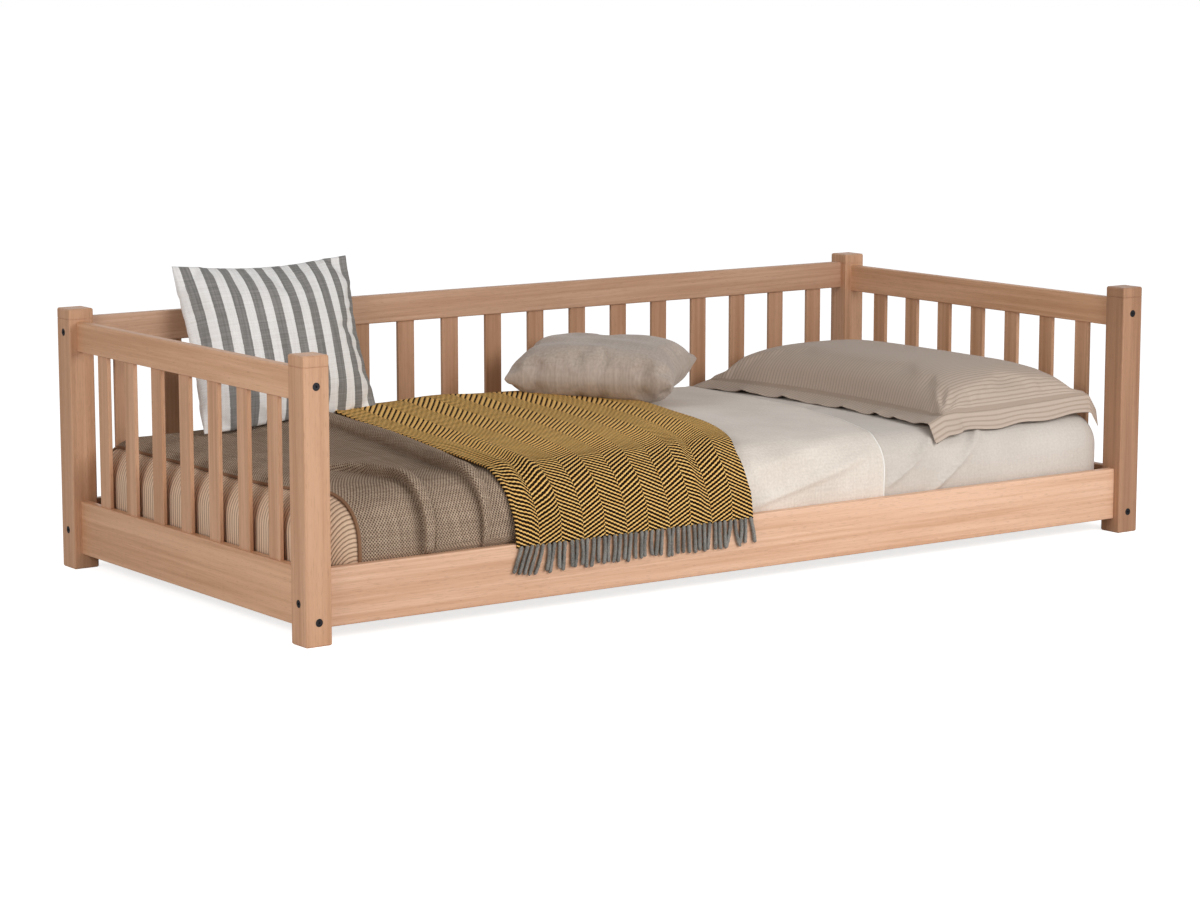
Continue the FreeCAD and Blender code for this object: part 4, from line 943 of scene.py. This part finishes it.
print("throw: %.0f rows of twill" % (rows[-1] - rows[0]))

# %% [markdown]
# ## Fringe
#
# The throw's warp ends are felted into short grey cords along the front hem. Each is a circle carried
# along a slightly bent path; the twist is a spiral groove in the mesh. At both ends of the row some cords
# swing aside and cross, as loose ones do.

# %% Fringe cords
CORDS = 44
FRINGE_LOW, FRINGE_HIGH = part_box("throw_fringe")
CORD_RADIUS = (FRINGE_HIGH.y - FRINGE_LOW.y) / 2
CORD_LENGTH = FRINGE_HIGH.z - FRINGE_LOW.z
draw = np.random.default_rng(5)
number = np.arange(CORDS)
root = np.linspace(throw_left[0] + 2 * CORD_RADIUS, throw_right[0] - 2 * CORD_RADIUS, CORDS)
root = root + draw.uniform(-0.0015, 0.0015, CORDS)
swing = draw.uniform(-0.006, 0.004, CORDS)
swing += np.interp(number, (0, 3, 7, CORDS - 7, CORDS - 1), (-0.020, -0.017, -0.003, 0, 0))
swing[-6:] += (0.004, -0.012, 0.014, -0.007, 0.002, 0.013)
length = CORD_LENGTH * draw.uniform(0.86, 1.0, CORDS)
depth = np.where(number % 2 == 0, 0.0, -0.0008)
down = np.linspace(0, 1, 20)
around = np.linspace(0, math.tau, 12, endpoint=False)
bow = draw.uniform(-0.003, 0.003, CORDS)[:, None] * np.sin(down * math.pi)
line_x = root[:, None] + swing[:, None] * down ** 1.4 + bow
line_y = (FRINGE_LOW.y + FRINGE_HIGH.y) / 2 + depth[:, None] + 0 * down
line_z = FRINGE_HIGH.z + 0.004 - (length + 0.004)[:, None] * down
taper = np.interp(down, (0, 0.06, 0.3, 0.9, 0.96, 1), (0.6, 0.95, 0.9, 1, 0.85, 0.0))
thick = CORD_RADIUS * taper * draw.uniform(0.95, 1.06, CORDS)[:, None]
twist = 1 + 0.09 * np.sin(2 * around - down[:, None] * 30)
ring = thick[..., None] * twist
points = packed(line_x[..., None] + ring * np.cos(around), line_y[..., None] + ring * np.sin(around),
                line_z[..., None])
index = np.arange(points.size // 3).reshape(points.shape[:3])
faces = np.concatenate([quads(cord) for cord in np.concatenate([index, index[..., :1]], -1)])
cloth = packed(down[:, None] * CORD_LENGTH, around * CORD_RADIUS, number[:, None, None])
yarn, tree, shader = new_finish("fringe_yarn", rough=0.95, shine=0.1)
fuzz = noise(tree, object_place(tree), (900.0, 900.0, 500.0), 3.0)
patch = noise(tree, object_place(tree), (60.0, 60.0, 25.0), 1.0)
colour = mix((fuzz * 0.7 + patch * 0.3).step(0.3, 0.7), (96, 93, 89), (160, 157, 151))
paint(shader, colour, fuzz, 0.0014)
fringe = new_piece("throw_fringe_cords", points.reshape(-1, 3), faces, cloth.reshape(-1, 3), yarn)
weld(fringe)

# %% [markdown]
# ## Pillows and cushion
#
# A pillow is two flat panels sewn together and stuffed: the filling pushes the panels apart, and the
# spare cloth puckers along the seams. A cloth simulation with pressure does just that. Its seam is held
# along the line that it has on the bed, the panels get a few per cent of spare cloth, and the result is
# set to size, laid in its place and pressed flat where it touches the bedding.


# %% Panels and simulation
def sewn(front, back, cloth, seam):
    """Two grids of points sewn together where seam is true.

    Returns points and faces of the closed case, and the points' places on the cloth.
    """
    free = ~seam.ravel()
    index = np.arange(free.size)
    behind = np.where(free, free.size + np.cumsum(free) - 1, index)
    faces = np.r_[quads(index.reshape(seam.shape)), quads(behind.reshape(seam.shape))[:, ::-1]]
    front, back, cloth = [grid.reshape(-1, 3) for grid in (front, back, cloth)]
    return np.r_[front, back[free]], faces, np.r_[cloth, cloth[free]]


def two_panels(corners, bows, columns, rows, belly, blunt):
    """Two panels sewn round their edge, as a front and a back grid that share the seam's points.

    Straight lines between four corners (lower left, lower right, upper right, upper left); each side is
    bowed inwards by half a sine (bottom, right, top, left). The belly is the root of one less a power each
    way.
    """
    s, t = np.meshgrid(np.linspace(0, 1, columns), np.linspace(0, 1, rows), indexing="ij")
    corners = np.array(corners)
    flat = packed((1 - s) * (1 - t), s * (1 - t), s * t, (1 - s) * t) @ corners
    bottom, right, top, left = bows
    flat[..., 0] += np.sin(math.pi * t) * (left * (1 - s) - right * s)
    flat[..., 1] += np.sin(math.pi * s) * (bottom * (1 - t) - top * t)
    rise = belly * np.sqrt((1 - np.abs(2 * s - 1) ** blunt) * (1 - np.abs(2 * t - 1) ** blunt))
    front = packed(flat[..., 0], flat[..., 1], rise)
    wide = np.linalg.norm(corners[1] - corners[0])
    tall = np.linalg.norm(corners[3] - corners[0])
    edge = np.minimum(np.minimum(s, 1 - s) * wide, np.minimum(t, 1 - t) * tall)
    return sewn(front, front * (1, 1, -1), packed(s * wide, t * tall, edge), edge == 0)


def inflate(points, faces, pinned, pressure, frames, spare, most, stiff=12.0, bend=0.3):
    """Runs a cloth simulation with air pressure and no gravity; no point ends further off than the most."""
    mesh = bpy.data.meshes.new("panels")
    mesh.from_pydata(points.tolist(), [], faces.tolist())
    item = placed("panels", mesh)
    group = item.vertex_groups.new(name="pinned")
    group.add(np.flatnonzero(pinned).tolist(), 1.0, "REPLACE")
    cloth = item.modifiers.new("cloth", "CLOTH")
    cloth.point_cache.frame_start = 1
    cloth.point_cache.frame_end = frames
    settings = dict(
        quality=6, mass=0.25, tension_stiffness=stiff, compression_stiffness=stiff,
        shear_stiffness=stiff * 0.6, bending_stiffness=bend, use_pressure=True,
        uniform_pressure_force=pressure, shrink_min=-spare, vertex_group_mass=group.name)
    for key, setting in settings.items():
        setattr(cloth.settings, key, setting)
    cloth.settings.effector_weights.gravity = 0
    for frame_number in range(1, frames + 1):
        scene.frame_set(frame_number)
    result = item.evaluated_get(bpy.context.evaluated_depsgraph_get()).data
    moved = np.empty(len(points) * 3, np.float32)
    result.vertices.foreach_get("co", moved)
    bpy.data.objects.remove(item)
    bpy.data.meshes.remove(mesh)
    scene.frame_set(1)
    change = moved.reshape(-1, 3) - points
    far = np.linalg.norm(change, axis=1, keepdims=True)
    print("simulated: moved %.1f mm on average" % (1000 * far.mean()))
    return points + change * np.minimum(1, most / np.maximum(far, 1e-9))


def held_above(value, limit, soft):
    """Value kept above a limit, with a rounded start of the contact."""
    return limit + soft * np.logaddexp(0, (value - limit) / soft)


def bedding_height(x, y):
    """Height of the uppermost layer: throw or blanket left of the throw's right edge, else the top sheet."""
    left_of_edge = fade(x - np.interp(y, throw_v, throw_right), 0.006)
    return TOP + TOP_SHEET_LIFT + filling(x, y) + left_of_edge * (THROW_OVER_SHEET + BLANKET_LOFT)


def set_down(node, points, deep, across, up, soft):
    """Stuffed shape made as deep as told, turned, put at its node's middle and pressed flat on the bedding.

    Its width runs along one unit direction, its height along the other, its depth square to both.
    """
    points[:, 2] *= deep / np.ptp(points[:, 2])
    low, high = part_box(node)
    shape = points @ np.stack([across, up, np.cross(across, up)]) + (np.array(low) + np.array(high)) / 2
    shape[:, 2] = held_above(shape[:, 2], bedding_height(shape[:, 0], shape[:, 1]) + 0.001, soft)
    return shape


def softened(piece):
    """One level of subdivision, the same in the view and in the render."""
    smooth = piece.modifiers.new("smooth", "SUBSURF")
    smooth.levels = 1
    smooth.render_levels = 1


# %% Striped cushion
CUSHION_DEEP = 0.128
CUSHION_LEAN = math.radians(24.5)
STRIPE = 0.0213
BACK_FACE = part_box("back_top_rail")[0].y - 0.0015
corners = ((-0.219, -0.185), (0.203, -0.165), (0.217, 0.186), (-0.206, 0.186))
points, faces, cloth = two_panels(corners, (-0.007, 0.010, 0.014, 0.007), 64, 56, belly=0.055, blunt=2.0)
points = inflate(points, faces, cloth[:, 2] == 0, pressure=3.0, frames=20, spare=0.035, most=0.03)
upright = (0, math.sin(CUSHION_LEAN), math.cos(CUSHION_LEAN))
shape = set_down("striped_cushion", points, CUSHION_DEEP, (1, 0, 0), upright, 0.003)
shape[:, 1] = -held_above(-shape[:, 1], -BACK_FACE, 0.003)
stripe_finish, tree, shader = new_finish("cushion_canvas", rough=0.85, sheen=0.1, shine=0.25)
vector, along, across, _ = cloth_place(tree)
wobble = noise(tree, vector, (160.0, 500.0, 0.0), 1.0) * 0.04
band = ((along / (2 * STRIPE) + 0.34 + wobble).math("FRACT") - 0.5).math("ABSOLUTE").step(0.24, 0.26)
threads, slub = woven(tree, along, across, 0.0019)
grey = mix(slub.step(0.3, 0.7), (122, 120, 117), (156, 153, 150))
white = mix(slub.step(0.25, 0.65), (236, 232, 228), (252, 250, 248))
paint(shader, mix(band, white, grey), threads * 0.6 + slub, 0.0009)
cushion = new_piece("cushion_canvas_cover", shape, faces, cloth, stripe_finish)
softened(cushion)

# %% Small pillow
SMALL_DEEP = 0.138
SMALL_YAW = math.radians(-50.0)
SMALL_TILT = math.radians(7.0)
corners = ((-0.190, -0.120), (0.190, -0.120), (0.190, 0.120), (-0.190, 0.120))
points, faces, cloth = two_panels(corners, (0.010, 0.012, 0.010, 0.012), 60, 44, belly=0.062, blunt=4.0)
points = inflate(points, faces, cloth[:, 2] == 0, pressure=3.5, frames=20, spare=0.05, most=0.012)
dents = ripple(points[:, 0], points[:, 1], 0.07, 8) * (cloth[:, 2] > 0)
points[:, 2] += 0.004 * np.sign(points[:, 2]) * dents
sine, cosine = math.sin(SMALL_YAW), math.cos(SMALL_YAW)
back = (-sine * math.cos(SMALL_TILT), cosine * math.cos(SMALL_TILT), math.sin(SMALL_TILT))
shape = set_down("small_pillow", points, SMALL_DEEP, (cosine, sine, 0), back, 0.006)
small_cotton = cotton("small_pillow_cotton", (200, 185, 173), (168, 152, 140), sheen=0.25)
small_pillow = new_piece("small_pillow_case", shape, faces, cloth, small_cotton)
softened(small_pillow)

# %% [markdown]
# The large pillow wears a case with a flat flange all round. The padded middle is simulated between the
# held stitch line and the bed. The flange is laid out from the stitch line at its own angle on each side:
# nearly level on the bed, and hanging over the mattress's front edge.

# %% Large pillow: the stitch line
low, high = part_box("large_pillow")
FLANGE = 0.042
BED_UNDER_PILLOW = TOP + SHEET_LIFT + SHEET_THICK
STITCH_X = (low.x + FLANGE, high.x - FLANGE)
STITCH_Y = (low.y + 0.008, high.y - FLANGE)
PAD_TOP = high.z - 0.004


def flanged(cells):
    """Places across the case: padding from -1 to 1, and how far out on each flange, in metres."""
    out = np.linspace(0, FLANGE, 7)[1:]
    pad = np.r_[0 * out - 1, np.linspace(-1, 1, cells), 0 * out + 1]
    return pad, np.r_[-out[::-1], np.zeros(cells), out]


(s_line, s_out), (t_line, t_out) = flanged(56), flanged(104)
s, t = np.meshgrid(s_line, t_line, indexing="ij")
s_flap, t_flap = np.meshgrid(s_out, t_out, indexing="ij")
bow = np.where(s < 0, 0.044, 0.010) * (1 - t ** 2)
half_x, half_y = np.ptp(STITCH_X) / 2, np.ptp(STITCH_Y) / 2
x = sum(STITCH_X) / 2 + s * (half_x - bow * np.abs(s) ** 3)
y = sum(STITCH_Y) / 2 + t * (half_y - 0.008 * (1 - s ** 2) * np.abs(t) ** 3)
front_share = np.clip((-0.25 - y) / 0.18, 0, 1)
seam_high = BED_UNDER_PILLOW + 0.016 + 0.026 * front_share ** 2 * np.clip(0.6 + 0.4 * s, 0.5, 1)
print("stitch line: %.0f by %.0f mm" % (2000 * half_x, 2000 * half_y))

# %% Large pillow: flange and padding
NEAR_DROOP, HEAD_DROOP, FRONT_DROOP, BACK_DROOP = np.radians((20, 12, 74, 15))
on_flap = (s_flap != 0) | (t_flap != 0)
s_droop = np.where(s_flap < 0, NEAR_DROOP, HEAD_DROOP + 0.75 * np.clip(-t * 3 - 2, 0, 1))
t_droop = np.where(t_flap < 0, FRONT_DROOP, BACK_DROOP)
turned_up = sum(ridge(t - spot, 0.10, 0.02) for spot in (-0.64, -0.46, -0.16, 0.34, 0.66))
frill = np.abs(s_flap) / FLANGE * (0.008 * turned_up + 0.0015 * np.sin(t * 39))
frill += np.abs(t_flap) / FLANGE * 0.003 * np.sin(s * 9 + 1)
flap_x = s_flap * np.cos(s_droop) + np.where(t_flap < 0, 0.003 * np.sin(s * 8) * t_flap / FLANGE, 0)
folded = fade(s + 0.77, 0.01)
flap_y = t_flap * np.cos(t_droop) - np.where(t_flap < 0, 0.012 * folded * np.abs(t_flap) / FLANGE, 0)
flap_z = -np.abs(s_flap) * np.sin(s_droop) - np.abs(t_flap) * np.sin(t_droop) + frill
full = np.sqrt(1 - np.abs(s) ** 3) * np.sqrt(1 - t ** np.where(t < 0, 6, 4))
corner_x, corner_y = (1 + s) * half_x, (1 + t) * half_y
crumple = np.sin(np.arctan2(corner_y, corner_x) * 11 + 0.8)
crumple *= np.exp(-(np.hypot(corner_x, corner_y) - 0.03) ** 2 / 0.0008) * ~on_flap
hollow = 1 - 0.02 * np.exp(-((s + 0.1) / 0.5) ** 2 - ((t - 0.1) / 0.5) ** 2)
sunk = np.clip(full * 2.2, 0, 1)
seam = packed(x + flap_x, y + flap_y, seam_high + flap_z)
upper = seam + packed(0, 0, (PAD_TOP - seam_high) * full * hollow + 0.008 * crumple)
lower = seam - packed(0, 0, (seam_high - BED_UNDER_PILLOW) * sunk + np.where(on_flap, 0.0035, 0))
print("padding: %.0f mm high" % (1000 * np.ptp(upper[..., 2])))

# %% Large pillow: one closed case
rim_points = (np.abs(s_flap) == FLANGE) | (np.abs(t_flap) == FLANGE)
to_stitch = np.where(on_flap, -np.maximum(np.abs(s_flap), np.abs(t_flap)),
                     np.minimum((1 - np.abs(s)) * half_x, (1 - np.abs(t)) * half_y))
run = run_length(upper[s.shape[0] // 2], 0)
points, faces, cloth = sewn(upper, lower, packed(s * half_x + s_flap, run, to_stitch), rim_points)
pinned = (cloth[:, 2] <= 0) | (np.arange(len(cloth)) >= s.size)
points = inflate(points, faces, pinned, pressure=1.5, frames=16, spare=0.03, most=0.006,
                 stiff=10.0, bend=0.25)
points[:, 2] += np.maximum(BED_UNDER_PILLOW - TOP + 0.0008 - gap_to_mattress(points), 0)
# The deep colour shows in the rib valleys and along the stitch line as painted shade, and in the darker slubs
# of the yarn.
pillow_rib = ribbed("pillow_rib", (192, 174, 159), (172, 153, 137), 0.0095, 0.0007)
large_pillow = new_piece("large_pillow_case", points, faces, cloth, pillow_rib)
softened(large_pillow)

# %% [markdown]
# ## What each piece is
#
# Every new piece rides on the bed's one body and stands for its CAD solid, which is hidden.

# %% Pieces on the bed's body
STANDS_FOR = (
    (mattress, "mattress", "ticking"),
    (fitted, "fitted_sheet", "sheet_cotton"),
    (cover, "foot_cover", "cover_rib"),
    (top_sheet, "top_sheet", "top_cotton"),
    (blanket, "blanket", "blanket_waffle"),
    (throw, "throw", "throw_wool"),
    (fringe, "throw_fringe", "fringe_wool"),
    (cushion, "striped_cushion", "cushion_stripe"),
    (small_pillow, "small_pillow", "pillow_plain"),
    (large_pillow, "large_pillow", "pillow_stripe"),
)
for piece, node, finish in STANDS_FOR:
    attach(piece, "root")
    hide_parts(node)
print("pieces declared:", len(STANDS_FOR))
